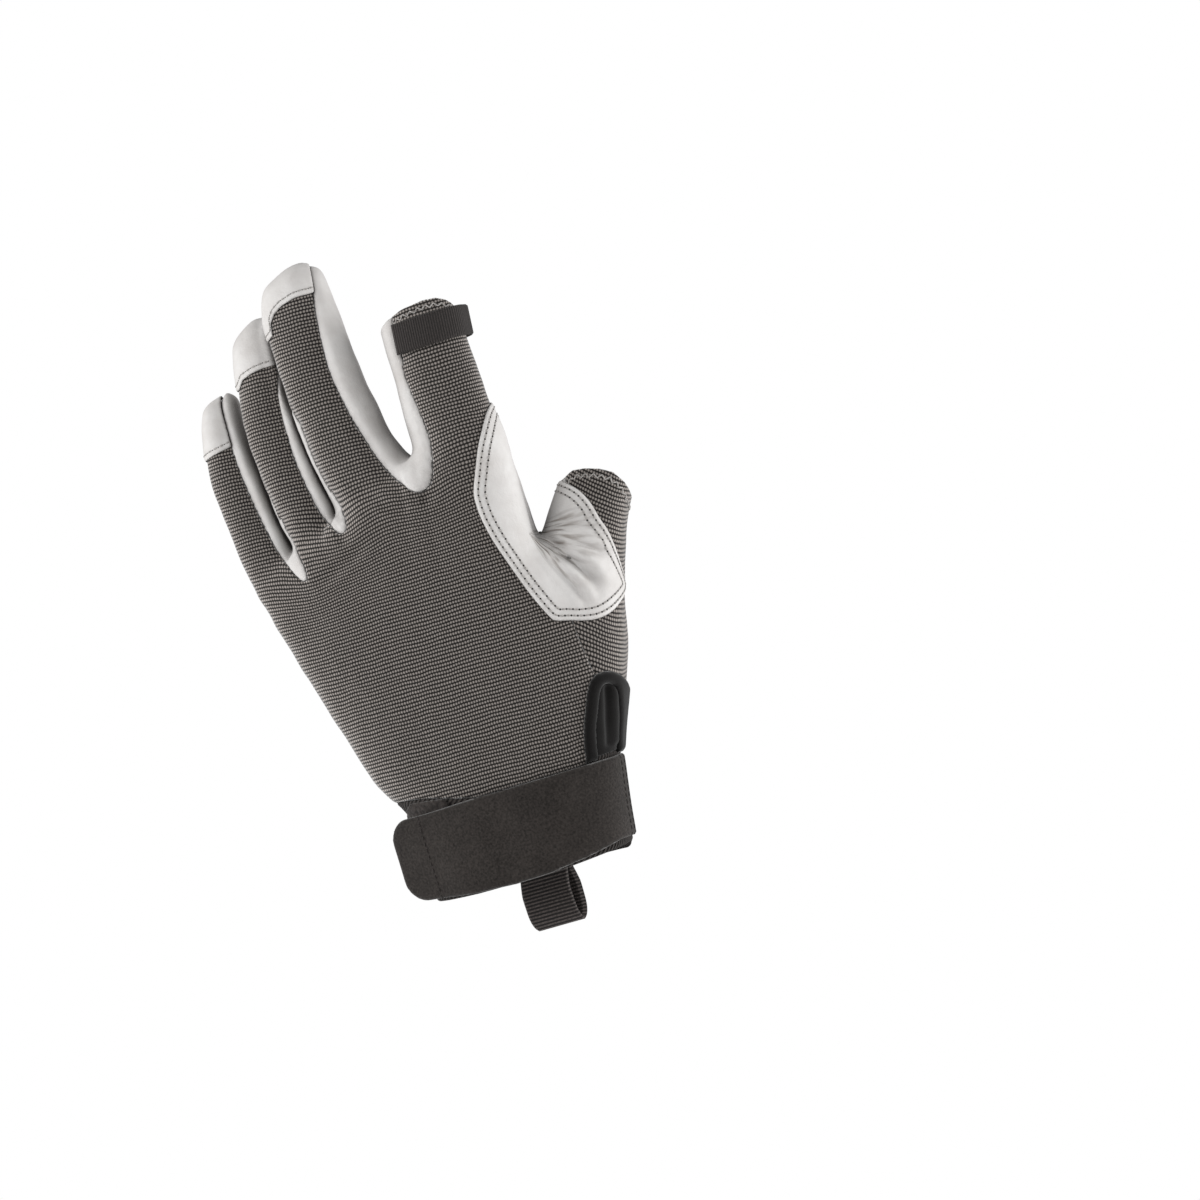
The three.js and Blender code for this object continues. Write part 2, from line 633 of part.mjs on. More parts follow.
/** The strap follows the back of the wrist from the thumb side, then runs straight past the other side. */
function strapBody() {
  const foot = 2 * SEAM_GAP + PAD_THICKNESS;
  const sides = [[], []];
  const freeEnd = wrist.centre.x - wrist.halfWide - STRAP_OVERRUN;
  for (const [index, offset] of [foot, foot + STRAP_THICKNESS].entries()) {
    for (let degrees = 2; degrees <= 122; degrees += 6) {
      const [x, y] = roundPoint(wrist.halfWide + offset, wrist.halfDeep + offset, POWER.hand, degrees);
      sides[index].push([wrist.centre.x + x, -y]);
    }
    const [a, b] = sides[index].slice(-2);
    const slope = (b[1] - a[1]) / (b[0] - a[0]);
    sides[index].push([freeEnd, b[1] + slope * (freeEnd - b[0])]);
  }
  const plan = [...sides[0], ...sides[1].reverse()];
  const body = new THREE.ExtrudeGeometry(new THREE.Shape(plan.map(([x, y]) => new THREE.Vector2(x, y))), {
    depth: STRAP_HEIGHT + 4,
    bevelEnabled: false,
  });
  const corner = STRAP_HEIGHT / 3;
  const front = new THREE.Shape();
  const [low, high] = [STRAP_FOOT, STRAP_FOOT + STRAP_HEIGHT];
  front.moveTo(BEYOND, high);
  front.lineTo(freeEnd + corner, high);
  front.quadraticCurveTo(freeEnd, high, freeEnd, high - corner);
  front.lineTo(freeEnd, low + corner);
  front.quadraticCurveTo(freeEnd, low, freeEnd + corner, low);
  front.lineTo(BEYOND, low);
  const outline = front.getPoints(5).map((p) => [p.x, p.y]);
  return solidOf(body).intersect(prism(outline, -BEYOND, BEYOND));
}
const STRAP_FOOT = 1.4; // above the wrist mouth
const strap = strapBody();

const bindingCurve = new THREE.SplineCurve(frontLine(BINDING_LINE).map(([x, z]) => new THREE.Vector2(x, z)));
const ventBinding = largestBody(
  sheetOn(SEAM_GAP, BINDING_THICKNESS)
    .intersect(prism(bandOutline(bindingCurve, BINDING_WIDTH, EDGE_POINTS), -BEYOND, 4))
    .subtract(thumbPatch),
);

/** A doubled strip of webbing that hangs from the palm side of the cuff, with a ply on each face of it. */
function loopBody() {
  const x0 = -WEBBING_WIDTH / 2;
  const half = WEBBING_THICKNESS / 2;
  const mouth = limbs.hand.sections[0];
  const [, flank] = roundPoint(mouth.halfWide - BAND_WALL, mouth.halfDeep - BAND_WALL, POWER.hand, 76);
  const outside = wrist.halfDeep + SEAM_GAP + half;
  const inside = flank - SEAM_GAP - half;
  const middle = (outside + inside) / 2;
  const swell = Math.max(LOOP_OPENING, outside - inside) / 2;
  const knots = [
    [outside, LOOP_RISE],
    [outside, LOOP_RISE / 2],
    [outside, 1],
    [middle + swell, -LOOP_DROP * 0.45],
    [middle + swell * 0.8, -LOOP_DROP * 0.82],
    [middle, -LOOP_DROP + half],
    [middle - swell * 0.8, -LOOP_DROP * 0.82],
    [middle - swell, -LOOP_DROP * 0.45],
    [inside, 1],
    [inside, LOOP_TUCK],
  ];
  const curve = new THREE.SplineCurve(knots.map(([y, z]) => new THREE.Vector2(y, z)));
  const shape = new THREE.Shape(bandOutline(curve, WEBBING_THICKNESS, 36).map(([y, z]) => new THREE.Vector2(y, z)));
  const body = new THREE.ExtrudeGeometry(shape, { depth: WEBBING_WIDTH, bevelEnabled: false });
  body.applyMatrix4(new THREE.Matrix4().set(0, 0, 1, x0, 1, 0, 0, 0, 0, 1, 0, 0, 0, 0, 0, 1));
  return solidOf(body);
}
const pullLoop = loopBody();

/** A strip round the back of the index finger, standing off it on the thumb side to leave a finger loop. */
function tabBody() {
  const top = limbs.index.sections.at(-1);
  const rings = [];
  for (let degrees = TAB_FROM; degrees <= TAB_TO; degrees += 9) {
    const near = Math.cos(THREE.MathUtils.degToRad(Math.min(90, Math.abs(degrees - TAB_FACING) * 2)));
    const ring = [];
    for (const [lift, down] of [[0, 0], [TAB_THICKNESS, 0], [TAB_THICKNESS, TAB_HEIGHT], [0, TAB_HEIGHT]]) {
      const offset = TAB_FOOT + lift + TAB_BULGE * near;
      const [x, y] = roundPoint(top.halfWide + offset, top.halfDeep + offset, POWER.finger, degrees);
      ring.push(pointOn(top, x, y).addScaledVector(top.normal, -TAB_SETBACK - down));
    }
    rings.push(ring);
  }
  return skin(rings);
}
const TAB_FOOT = 1.2; // off the rim of the finger, which is slightly wider lower down
const indexTab = tabBody().subtract(handForm(SEAM_GAP));

// Colours

const finish = (color, roughness) => new THREE.MeshStandardMaterial({ color, roughness, metalness: 0 });
const WOVEN = finish(0x6b6663, 0.95);
const LEATHER = finish(0xcfcbc8, 0.7);
const BRUSHED = finish(0x3f3b39, 0.98);
const ELASTIC = finish(0x45403e, 0.9);
const WEBBING = finish(0x3a3634, 0.85);

const glove = new THREE.Group();
glove.name = "climbing_glove";

function geometryOf(solid) {
  const mesh = solid.getMesh();
  const geometry = new THREE.BufferGeometry();
  geometry.setAttribute("position", new THREE.BufferAttribute(new Float32Array(mesh.vertProperties), 3));
  geometry.setIndex(new THREE.BufferAttribute(new Uint32Array(mesh.triVerts), 1));
  geometry.computeVertexNormals();
  return geometry;
}

function addPiece(name, solid, material) {
  const geometry = geometryOf(largestBody(solidOf(geometryOf(solid))));
  const piece = new THREE.Mesh(geometry, material);
  piece.name = name;
  glove.add(piece);
}

addPiece("back_panel", backPanel, WOVEN);
addPiece("thumb_panel", thumbPanel, WOVEN);
addPiece("palm_panel", palmPanel, LEATHER);
addPiece("strip_index_middle", stripMiddle, LEATHER);
addPiece("strip_middle_ring", stripRing, LEATHER);
addPiece("strip_ring_little", stripLittle, LEATHER);
addPiece("cap_middle", capMiddle, LEATHER);
addPiece("cap_ring", capRing, LEATHER);
addPiece("cap_little", capLittle, LEATHER);
addPiece("thumb_patch", thumbPatch, LEATHER);
addPiece("cuff_band", cuffBand, ELASTIC);
addPiece("loop_pad", loopPad, BRUSHED);
addPiece("closure_strap", strap, BRUSHED);
addPiece("vent_binding", ventBinding, ELASTIC);
addPiece("pull_loop", pullLoop, WEBBING);
addPiece("index_tab", indexTab, ELASTIC);

export default glove;
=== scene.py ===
"""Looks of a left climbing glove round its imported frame: woven back, leather palm, strap and trims."""

from __future__ import annotations

import logging
import math
from dataclasses import dataclass, field
from enum import Enum
from typing import Callable, Sequence

import bpy
import numpy as np
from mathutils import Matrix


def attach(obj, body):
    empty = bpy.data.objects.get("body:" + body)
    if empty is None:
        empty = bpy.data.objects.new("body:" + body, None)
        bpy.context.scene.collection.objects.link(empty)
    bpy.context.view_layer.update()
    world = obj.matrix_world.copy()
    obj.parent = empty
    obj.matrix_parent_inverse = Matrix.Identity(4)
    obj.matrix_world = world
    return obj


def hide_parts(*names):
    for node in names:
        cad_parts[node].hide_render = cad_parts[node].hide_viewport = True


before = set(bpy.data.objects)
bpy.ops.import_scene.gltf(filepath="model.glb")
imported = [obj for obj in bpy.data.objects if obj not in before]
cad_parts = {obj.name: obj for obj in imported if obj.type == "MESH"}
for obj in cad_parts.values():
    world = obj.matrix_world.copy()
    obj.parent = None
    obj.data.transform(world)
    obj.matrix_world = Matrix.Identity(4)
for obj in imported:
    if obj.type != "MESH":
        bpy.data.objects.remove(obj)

import openvdb
from mathutils import Matrix, Vector
from mathutils.kdtree import KDTree
from mathutils import noise as mnoise

LOG = logging.getLogger("climbing_glove")
MM = 0.001
BODY = "root"
VIEW_YAW = math.radians(15.0)  # the photograph's view is turned this far to the thumb side
VIEW_ROLL = math.radians(17.0)  # and the glove leans this far to the left in it
VOXEL = 0.75  # mm, grid of the hand form
GRID_LOW = (-84.0, -30.0, -11.0)  # mm, corners of that grid
GRID_HIGH = (96.0, 46.0, 246.0)
GRID_REACH = 20.0  # cells round a limb in which its distance is known
WEAVE_UNIT = 100.0  # mm in one unit of the weave coordinates
TO_BACK = (0.0, -1.0, 0.0)
ANY_WAY = (0.3, 0.2, 0.93)  # a direction that no seam's normal has
# Sections of a stitch: share of its length, share of the thread's radius, lift in radii
STITCH = ((-0.08, 0.35, -0.45), (0.1, 0.85, 0.0), (0.5, 1.0, 0.22), (0.9, 0.85, 0.0), (1.08, 0.35, -0.45))
WRIST_MIDDLE = 3.6  # mm to the thumb side
WRIST_HALVES = (40.5, 20.5)  # mm, half-width and half-depth at the cuff
WRIST_POWER = 2.6
FINGER_POWER = 2.3

Array = np.ndarray
Line = Sequence[tuple[float, float]]
Material = bpy.types.Material
Socket = bpy.types.NodeSocket
Path = Callable[[Array], tuple[Array, Array, Array]]


# Small helpers


def smoothstep(low: float, high: float, value: Array) -> Array:
    """Rises smoothly from 0 at low to 1 at high, or falls if low is above high.

    Args:
        low: Value that gives 0.
        high: Value that gives 1.
        value: Values to map.

    Returns:
        The mapped values, from 0 to 1.
    """
    t = np.clip((value - low) / (high - low), 0.0, 1.0)
    return t * t * (3.0 - 2.0 * t)


def catmull(rows: Array, at: Array) -> Array:
    """Reads a table of rows at fractional row numbers on a smooth curve through every row.

    Args:
        rows: Table of shape (rows, columns).
        at: Fractional row numbers.

    Returns:
        One interpolated row for each number.
    """
    at = np.clip(at, 0.0, len(rows) - 1.0)
    low = np.minimum(at.astype(int), len(rows) - 2)
    t = (at - low)[:, None]
    padded = np.vstack([2 * rows[0] - rows[1], rows, 2 * rows[-1] - rows[-2]])
    a, b, c, d = (padded[low + i] for i in range(4))
    return 0.5 * (2 * b + (c - a) * t + (2 * a - 5 * b + 4 * c - d) * t**2 + (3 * b - a - 3 * c + d) * t**3)


def finer(rows: Sequence[tuple[float, ...]], times: int = 4) -> Array:
    """A table with more rows, on a smooth curve through the given ones.

    Args:
        rows: The table.
        times: How many rows are made for each given one.

    Returns:
        The finer table.
    """
    table = np.array(rows, float)
    return catmull(table, np.linspace(0, len(table) - 1, times * len(table)))


def bent(value: Array, power: float) -> Array:
    """Bends a cosine or sine into that of a superellipse.

    Args:
        value: Cosines or sines.
        power: Squareness of the superellipse.

    Returns:
        The bent values.
    """
    return np.sign(value) * np.abs(value) ** (2 / power)


def walked(points: Array) -> Array:
    """Distance walked along a line of points up to each of them.

    Args:
        points: Points of shape (n, 2) or (n, 3).

    Returns:
        One distance for each point, from 0.
    """
    return np.concatenate([[0], np.cumsum(np.linalg.norm(np.diff(points, axis=0), axis=1))])


def read_at(at: Array, places: Array, rows: Array) -> Array:
    """Reads every column of a table at places between its rows.

    Args:
        at: Where to read.
        places: Place of each row.
        rows: The table.

    Returns:
        One row for each place that is read.
    """
    return np.column_stack([np.interp(at, places, column) for column in rows.T])


def polygon_distance(points: Array, outline: Line) -> Array:
    """Signed distance of plane points to a closed outline, positive inside.

    Args:
        points: Points of shape (n, 2).
        outline: Corners of the outline.

    Returns:
        One signed distance per point.
    """
    corners = np.array(outline, float)
    best = np.full(len(points), 1e9)
    inside = np.zeros(len(points), bool)
    for a, b in zip(corners, np.roll(corners, -1, axis=0)):
        edge = b - a
        t = np.clip(((points - a) @ edge) / max(edge @ edge, 1e-9), 0, 1)
        best = np.minimum(best, np.linalg.norm(points - a - t[:, None] * edge, axis=1))
        if a[1] != b[1]:
            cross = (b[0] - a[0]) * (points[:, 1] - a[1]) / (b[1] - a[1]) + a[0]
            inside ^= ((a[1] > points[:, 1]) != (b[1] > points[:, 1])) & (points[:, 0] < cross)
    return np.where(inside, best, -best)


def line_side(points: Array, line: Line) -> Array:
    """Signed distance of plane points to an open line, positive on its right as it is walked.

    Args:
        points: Points of shape (n, 2).
        line: Corners of the line.

    Returns:
        One signed distance per point.
    """
    corners = np.array(line, float)
    best = np.full(len(points), 1e9)
    side = np.zeros(len(points))
    for a, b in zip(corners[:-1], corners[1:]):
        edge = b - a
        t = np.clip(((points - a) @ edge) / (edge @ edge), 0, 1)
        off = points - a - t[:, None] * edge
        distance = np.linalg.norm(off, axis=1)
        turn = (points[:, 0] - a[0]) * edge[1] - (points[:, 1] - a[1]) * edge[0]
        nearer = distance < best
        side[nearer] = np.sign(turn[nearer])
        best = np.minimum(best, distance)
    return side * best


def rounded(line: Line, passes: int = 2, closed: bool = True) -> list[tuple[float, float]]:
    """Rounds the corners of an outline by cutting them a few times.

    Args:
        line: Corners of the outline.
        passes: How many times every corner is cut.
        closed: Whether the last corner joins the first.

    Returns:
        The finer outline.
    """
    points = [tuple(p) for p in line]
    for _ in range(passes):
        cut = [] if closed else [points[0]]
        for (ax, ay), (bx, by) in zip(points, points[1:] + (points[:1] if closed else [])):
            cut.append((0.75 * ax + 0.25 * bx, 0.75 * ay + 0.25 * by))
            cut.append((0.25 * ax + 0.75 * bx, 0.25 * ay + 0.75 * by))
        points = cut if closed else cut + [points[-1]]
    return points


def noise3(points: Array, scale: float, seed: float = 0.0) -> Array:
    """Smooth noise at points.

    Args:
        points: Points in mm.
        scale: Size of a noise cell in mm.
        seed: Shift of the noise field.

    Returns:
        Values of about -1 to 1.
    """
    return np.array([mnoise.noise(Vector(p)) for p in (points / scale + seed)])


# Surfaces


@dataclass
class Surface:
    """A triangle mesh in millimetres with values at its points."""

    points: Array
    faces: Array
    values: dict[str, Array] = field(default_factory=dict)

    def edges(self) -> Array:
        """Both ends of each side of each face."""
        return np.vstack([self.faces[:, [0, 1]], self.faces[:, [1, 2]], self.faces[:, [2, 0]]])

    def facing_out(self) -> "Surface":
        """Turns the faces of a closed surface so that they look outwards.

        Returns:
            The surface itself.
        """
        corner = self.points[self.faces]
        if np.einsum("ij,ij->", corner[:, 0], np.cross(corner[:, 1], corner[:, 2])) < 0:
            self.faces = self.faces[:, ::-1]
        return self

    def normals(self) -> Array:
        """Unit normals at the points."""
        corner = self.points[self.faces]
        face = np.cross(corner[:, 1] - corner[:, 0], corner[:, 2] - corner[:, 0])
        total = np.zeros_like(self.points)
        for i in range(3):
            np.add.at(total, self.faces[:, i], face)
        return total / np.maximum(np.linalg.norm(total, axis=1, keepdims=True), 1e-12)

    def smoothed(self, times: int, strength: float = 0.5) -> "Surface":
        """Evens out the surface without shrinking it.

        Args:
            times: Rounds of smoothing.
            strength: Share of the way to the neighbours' middle in a round.

        Returns:
            The surface itself.
        """
        edges = np.unique(np.sort(self.edges(), axis=1), axis=0)
        count = np.bincount(edges.ravel(), minlength=len(self.points))[:, None].clip(1)
        for _ in range(times):
            for weight in (strength, -strength * 1.04):
                total = np.zeros_like(self.points)
                np.add.at(total, edges[:, 0], self.points[edges[:, 1]])
                np.add.at(total, edges[:, 1], self.points[edges[:, 0]])
                self.points = self.points + weight * (total / count - self.points)
        return self

    def spread(self, value: Array, times: int) -> Array:
        """Evens a value out over neighbouring points.

        Args:
            value: One number for each point.
            times: Number of rounds.

        Returns:
            The evened values.
        """
        a, b = self.edges().T
        size = len(self.points)
        count = np.maximum(np.bincount(a, minlength=size) + np.bincount(b, minlength=size), 1)
        for _ in range(times):
            around = np.bincount(a, value[b], size) + np.bincount(b, value[a], size)
            value = 0.4 * value + 0.6 * around / count
        return value

    def boundary(self) -> Array:
        """Edges that belong to one face only, in the order of that face."""
        edges = self.edges()
        _, first, counts = np.unique(np.sort(edges, axis=1), axis=0, return_index=True, return_counts=True)
        return edges[first[counts == 1]]

    def clipped(self, inside: Array) -> "Surface":
        """The part where a value is positive, cut along its zero line.

        Args:
            inside: Value at each point.

        Returns:
            A new surface.
        """
        inside = np.where(np.abs(inside) < 1e-6, 1e-6, inside)
        sign = inside[self.faces] > 0
        count = sign.sum(axis=1)
        one = _rolled(self.faces[count == 1], np.argmax(sign[count == 1], axis=1))
        two = _rolled(self.faces[count == 2], np.argmin(sign[count == 2], axis=1))
        crossed = [one[:, [0, 1]], one[:, [0, 2]], two[:, [1, 0]], two[:, [2, 0]]]
        sides, where = np.unique(np.sort(np.vstack(crossed), axis=1), axis=0, return_inverse=True)
        a, b = sides.T
        t = inside[a] / (inside[a] - inside[b])
        points = np.vstack([self.points, self.points[a] + t[:, None] * (self.points[b] - self.points[a])])
        values = {name: np.concatenate([v, v[a] + t * (v[b] - v[a])]) for name, v in self.values.items()}
        cuts = np.split(where.ravel() + len(self.points), np.cumsum([len(k) for k in crossed])[:-1])
        faces = np.vstack([
            self.faces[count == 3],
            np.column_stack([one[:, 0], cuts[0], cuts[1]]),
            np.column_stack([two[:, 1], two[:, 2], cuts[2]]),
            np.column_stack([cuts[2], two[:, 2], cuts[3]]),
        ])
        return Surface(points, faces, values).compacted()

    def compacted(self) -> "Surface":
        """Drops the points that no face uses.

        Returns:
            A new surface.
        """
        used, where = np.unique(self.faces, return_inverse=True)
        values = {name: v[used] for name, v in self.values.items()}
        return Surface(self.points[used], where.reshape(self.faces.shape), values)

    def largest(self, least: int = 0) -> "Surface":
        """The largest connected part, or every part above a size.

        Args:
            least: Number of triangles that a part needs to be kept, or 0 for the largest part alone.

        Returns:
            A new surface.
        """
        label = np.arange(len(self.points))
        while True:
            low = label[self.faces].min(axis=1)
            new = label.copy()
            for i in range(3):
                np.minimum.at(new, self.faces[:, i], low)
            new = new[new]
            if np.array_equal(new, label):
                break
            label = new
        own = label[self.faces[:, 0]]
        names, sizes = np.unique(own, return_counts=True)
        kept = names[sizes >= (least or sizes.max())]
        return Surface(self.points, self.faces[np.isin(own, kept)], self.values).compacted()

    def edge_distance(self, reach: float = 9.0) -> Array:
        """Distance of each point to the nearest open edge, up to a reach.

        Args:
            reach: Distance that stands for everything further in.

        Returns:
            One distance per point.
        """
        rim = self.boundary()
        a, b = self.points[rim[:, 0]], self.points[rim[:, 1]]
        marks = np.vstack([a, 0.5 * (a + b)])
        tree = KDTree(len(marks))
        for i, p in enumerate(marks):
            tree.insert(p, i)
        tree.balance()
        out = np.full(len(self.points), reach)
        low, high = marks.min(axis=0) - reach, marks.max(axis=0) + reach
        near = np.all((self.points > low) & (self.points < high), axis=1)
        for i in np.nonzero(near)[0]:
            out[i] = min(reach, tree.find(self.points[i])[2])
        return out

    def thickened(self, wall: float | Array) -> "Surface":
        """Gives the sheet a second face further in and closes its edges.

        Args:
            wall: Thickness in mm, one value or one per point.

        Returns:
            A closed surface. Its value "inner" is 1 on the second face.
        """
        rim = self.boundary()
        count = len(self.points)
        inner = self.points - self.normals() * (wall[:, None] if isinstance(wall, np.ndarray) else wall)
        sides = np.vstack([
            np.column_stack([rim[:, 1], rim[:, 0], rim[:, 0] + count]),
            np.column_stack([rim[:, 1], rim[:, 0] + count, rim[:, 1] + count]),
        ])
        faces = np.vstack([self.faces, self.faces[:, ::-1] + count, sides])
        values = {k: np.concatenate([v, v]) for k, v in self.values.items()}
        values["inner"] = np.concatenate([np.zeros(count), np.ones(count)])
        return Surface(np.vstack([self.points, inner]), faces, values)

    def contours(self, value: Array, level: float) -> list[Array]:
        """Lines on the surface along which a value has a level.

        Args:
            value: Value at each point.
            level: The level.

        Returns:
            Lines as arrays of points with normals, shape (n, 6), the longest first.
        """
        shifted = np.where(np.abs(value - level) < 1e-7, 1e-7, value - level)
        sign = shifted[self.faces] > 0
        mixed = (sign.sum(axis=1) % 3) != 0
        rows = np.concatenate([self.points, self.normals()], axis=1)
        links: dict[tuple[int, int], list[tuple[int, int]]] = {}
        spots: dict[tuple[int, int], Array] = {}
        for face, side in zip(self.faces[mixed], sign[mixed]):
            ends = []
            for i, j in ((0, 1), (1, 2), (2, 0)):
                if side[i] != side[j]:
                    a, b = sorted((face[i], face[j]))
                    spots[a, b] = rows[a] + shifted[a] / (shifted[a] - shifted[b]) * (rows[b] - rows[a])
                    ends.append((a, b))
            links.setdefault(ends[0], []).append(ends[1])
            links.setdefault(ends[1], []).append(ends[0])
        lines = []
        unseen = set(links)
        starts = sorted([k for k in links if len(links[k]) == 1]) + sorted(links)
        for start in starts:
            if start not in unseen:
                continue
            chain = [start]
            unseen.discard(start)
            while True:
                following = [k for k in links[chain[-1]] if k in unseen]
                if not following:
                    break
                chain.append(following[0])
                unseen.discard(following[0])
            if len(chain) > 2:
                if chain[0] in links[chain[-1]]:
                    chain.append(chain[0])
                lines.append(np.array([spots[k] for k in chain]))
        return sorted(lines, key=lambda l: -len(l))


def _rolled(faces: Array, first: Array) -> Array:
    """Turns each triangle so that a chosen corner comes first.

    Args:
        faces: Triangles.
        first: Number of the corner for each.

    Returns:
        The turned triangles.
    """
    order = (first[:, None] + np.arange(3)) % 3
    return np.take_along_axis(faces, order, axis=1)


def skin(rings: Sequence[Array]) -> Surface:
    """A closed surface through rings of as many points each, with a fan over each end.

    Args:
        rings: Rings of points.

    Returns:
        The surface, facing out.
    """
    count = len(rings[0])
    points = np.vstack([*rings, rings[0].mean(axis=0), rings[-1].mean(axis=0)])
    index = np.arange(len(rings) * count).reshape(len(rings), count)
    a, b = index[:-1], index[1:]
    a2, b2 = np.roll(a, -1, axis=1), np.roll(b, -1, axis=1)
    faces = [np.stack([a, a2, b2], axis=-1).reshape(-1, 3), np.stack([a, b2, b], axis=-1).reshape(-1, 3)]
    for ring, middle, flip in ((index[0], len(points) - 2, True), (index[-1], len(points) - 1, False)):
        tip, following = np.full(count, middle), np.roll(ring, -1)
        faces.append(np.column_stack([tip, following, ring] if flip else [tip, ring, following]))
    return Surface(points, np.vstack(faces)).facing_out()


def merged(parts: Sequence[Surface]) -> Surface:
    """Puts surfaces together into one without joining them.

    Args:
        parts: The surfaces.

    Returns:
        A new surface without values.
    """
    offsets = np.cumsum([0] + [len(part.points) for part in parts[:-1]])
    faces = np.vstack([part.faces + offset for part, offset in zip(parts, offsets)])
    return Surface(np.vstack([part.points for part in parts]), faces)


def place(surface: Surface, name: str, finish: Material, slot: str, *nodes: str) -> None:
    """Turns a surface into a Blender object that rides on the body.

    Args:
        surface: The surface in mm, with "u" and "v" values in mm where its finish needs them.
        name: Name of the piece.
        finish: Its material.
        slot: The record's material slot it stands for; not used.
        *nodes: CAD nodes that it replaces.
    """
    mesh = bpy.data.meshes.new(name)
    mesh.from_pydata((surface.points * MM).tolist(), [], surface.faces.tolist())
    if "u" in surface.values:
        layer = mesh.uv_layers.new(name="weave")
        loops = np.empty(len(mesh.loops), np.int32)
        mesh.loops.foreach_get("vertex_index", loops)
        uv = np.column_stack([surface.values["u"], surface.values["v"]])[loops] / WEAVE_UNIT
        layer.data.foreach_set("uv", uv.astype(np.float32).ravel())
    for key in ("edge", "inner"):
        if key in surface.values:
            attribute = mesh.attributes.new(key, "FLOAT", "POINT")
            attribute.data.foreach_set("value", surface.values[key].astype(np.float32))
    mesh.materials.append(finish)
    mesh.validate()
    mesh.shade_smooth()
    obj = bpy.data.objects.new(name, mesh)
    bpy.context.scene.collection.objects.link(obj)
    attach(obj, BODY)
    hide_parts(*nodes)
    LOG.info("%s: %d triangles", name, len(mesh.polygons))


# The form of the hand


class Side(Enum):
    """Which face of the glove a line lies on."""

    BACK = "back"
    PALM = "palm"


@dataclass
class Limb:
    """A finger, the thumb or the hand as a row of superellipse sections along an axis."""

    centres: Array
    normals: Array
    wide: Array
    deep: Array
    power: float

    @classmethod
    def upright(cls, rows: Sequence[tuple[float, ...]], power: float = FINGER_POWER) -> "Limb":
        """A finger from level sections as the photograph shows them.

        Args:
            rows: Height, middle and half-width in the view, depth of the middle and half-depth, in mm.
            power: Squareness of the sections.

        Returns:
            The limb.
        """
        z, u, half, y, deep = finer(rows).T
        wide = np.sqrt(np.maximum(half**2 - (deep * math.sin(VIEW_YAW)) ** 2, 0.2)) / math.cos(VIEW_YAW)
        x = (u - y * math.sin(VIEW_YAW)) / math.cos(VIEW_YAW)
        normals = np.tile([0.0, 0.0, 1.0], (len(z), 1))
        return cls(np.column_stack([x, y, z]), normals, wide, deep, power)

    @classmethod
    def leaning(cls, rows: Sequence[tuple[float, ...]], power: float = 2.4) -> "Limb":
        """A thumb whose sections stand square to its axis.

        Args:
            rows: Middle (x, y, z), half-width and half-depth, in mm.
            power: Squareness of the sections.

        Returns:
            The limb.
        """
        table = finer(rows, 5)
        centres = table[:, :3]
        along = np.gradient(centres, axis=0)
        along /= np.linalg.norm(along, axis=1, keepdims=True)
        return cls(centres, along, table[:, 3], table[:, 4], power)

    @classmethod
    def broad(cls, rows: Sequence[tuple[float, ...]], power: float = WRIST_POWER) -> "Limb":
        """The hand, whose sections tilt towards the little finger.

        Args:
            rows: Height, x of the middle, tilt in degrees, half-width and half-depth.
            power: Squareness of the sections.

        Returns:
            The limb.
        """
        z, x, tilt, wide, deep = finer(rows).T
        tilt = np.radians(tilt)
        normals = np.column_stack([-np.sin(tilt), np.zeros(len(z)), np.cos(tilt)])
        return cls(np.column_stack([x, np.zeros(len(z)), z]), normals, wide, deep, power)

    def axes(self) -> tuple[Array, Array]:
        """Directions across each section and to the back of the hand."""
        back = np.array(TO_BACK) - self.normals * (self.normals @ np.array(TO_BACK))[:, None]
        back /= np.linalg.norm(back, axis=1, keepdims=True)
        return np.cross(self.normals, back), back

    def solid(self, sides: int = 48) -> Surface:
        """The closed skin through the sections."""
        across, back = self.axes()
        turn = np.linspace(0, 2 * math.pi, sides, endpoint=False)
        x, y = bent(np.cos(turn), self.power), bent(np.sin(turn), self.power)
        rings = [
            o + a * w * x[:, None] + b * d * y[:, None]
            for o, a, b, w, d in zip(self.centres, across, back, self.wide, self.deep)
        ]
        return skin(rings)

    def place_of(self, points: Array) -> tuple[Array, Array]:
        """Where points lie round and along the limb.

        Args:
            points: Points in mm.

        Returns:
            Angle in degrees from the thumb side over the back, and mean half size there.
        """
        across, back = self.axes()
        axis = self.centres[:, 2]
        row = np.interp(points[:, 2], axis, np.arange(len(axis)))
        if abs(self.normals[:, 2]).min() < 0.999:
            gaps = np.stack([np.abs((points - c) @ n) for c, n in zip(self.centres, self.normals)], axis=1)
            away = np.linalg.norm(points[:, None] - self.centres[None], axis=2)
            row = np.argmin(gaps + 0.02 * away, axis=1).astype(float)
        low = np.clip(row.astype(int), 0, len(axis) - 2)
        t = (row - low)[:, None]
        mix: Callable[[Array], Array] = lambda v: v[low] * (1 - t) + v[low + 1] * t
        off = points - mix(self.centres)
        wide, deep = mix(self.wide[:, None])[:, 0], mix(self.deep[:, None])[:, 0]
        x = np.einsum("ij,ij->i", off, mix(across)) / wide
        y = np.einsum("ij,ij->i", off, mix(back)) / deep
        return np.degrees(np.arctan2(y, x)), 0.5 * (wide + deep)


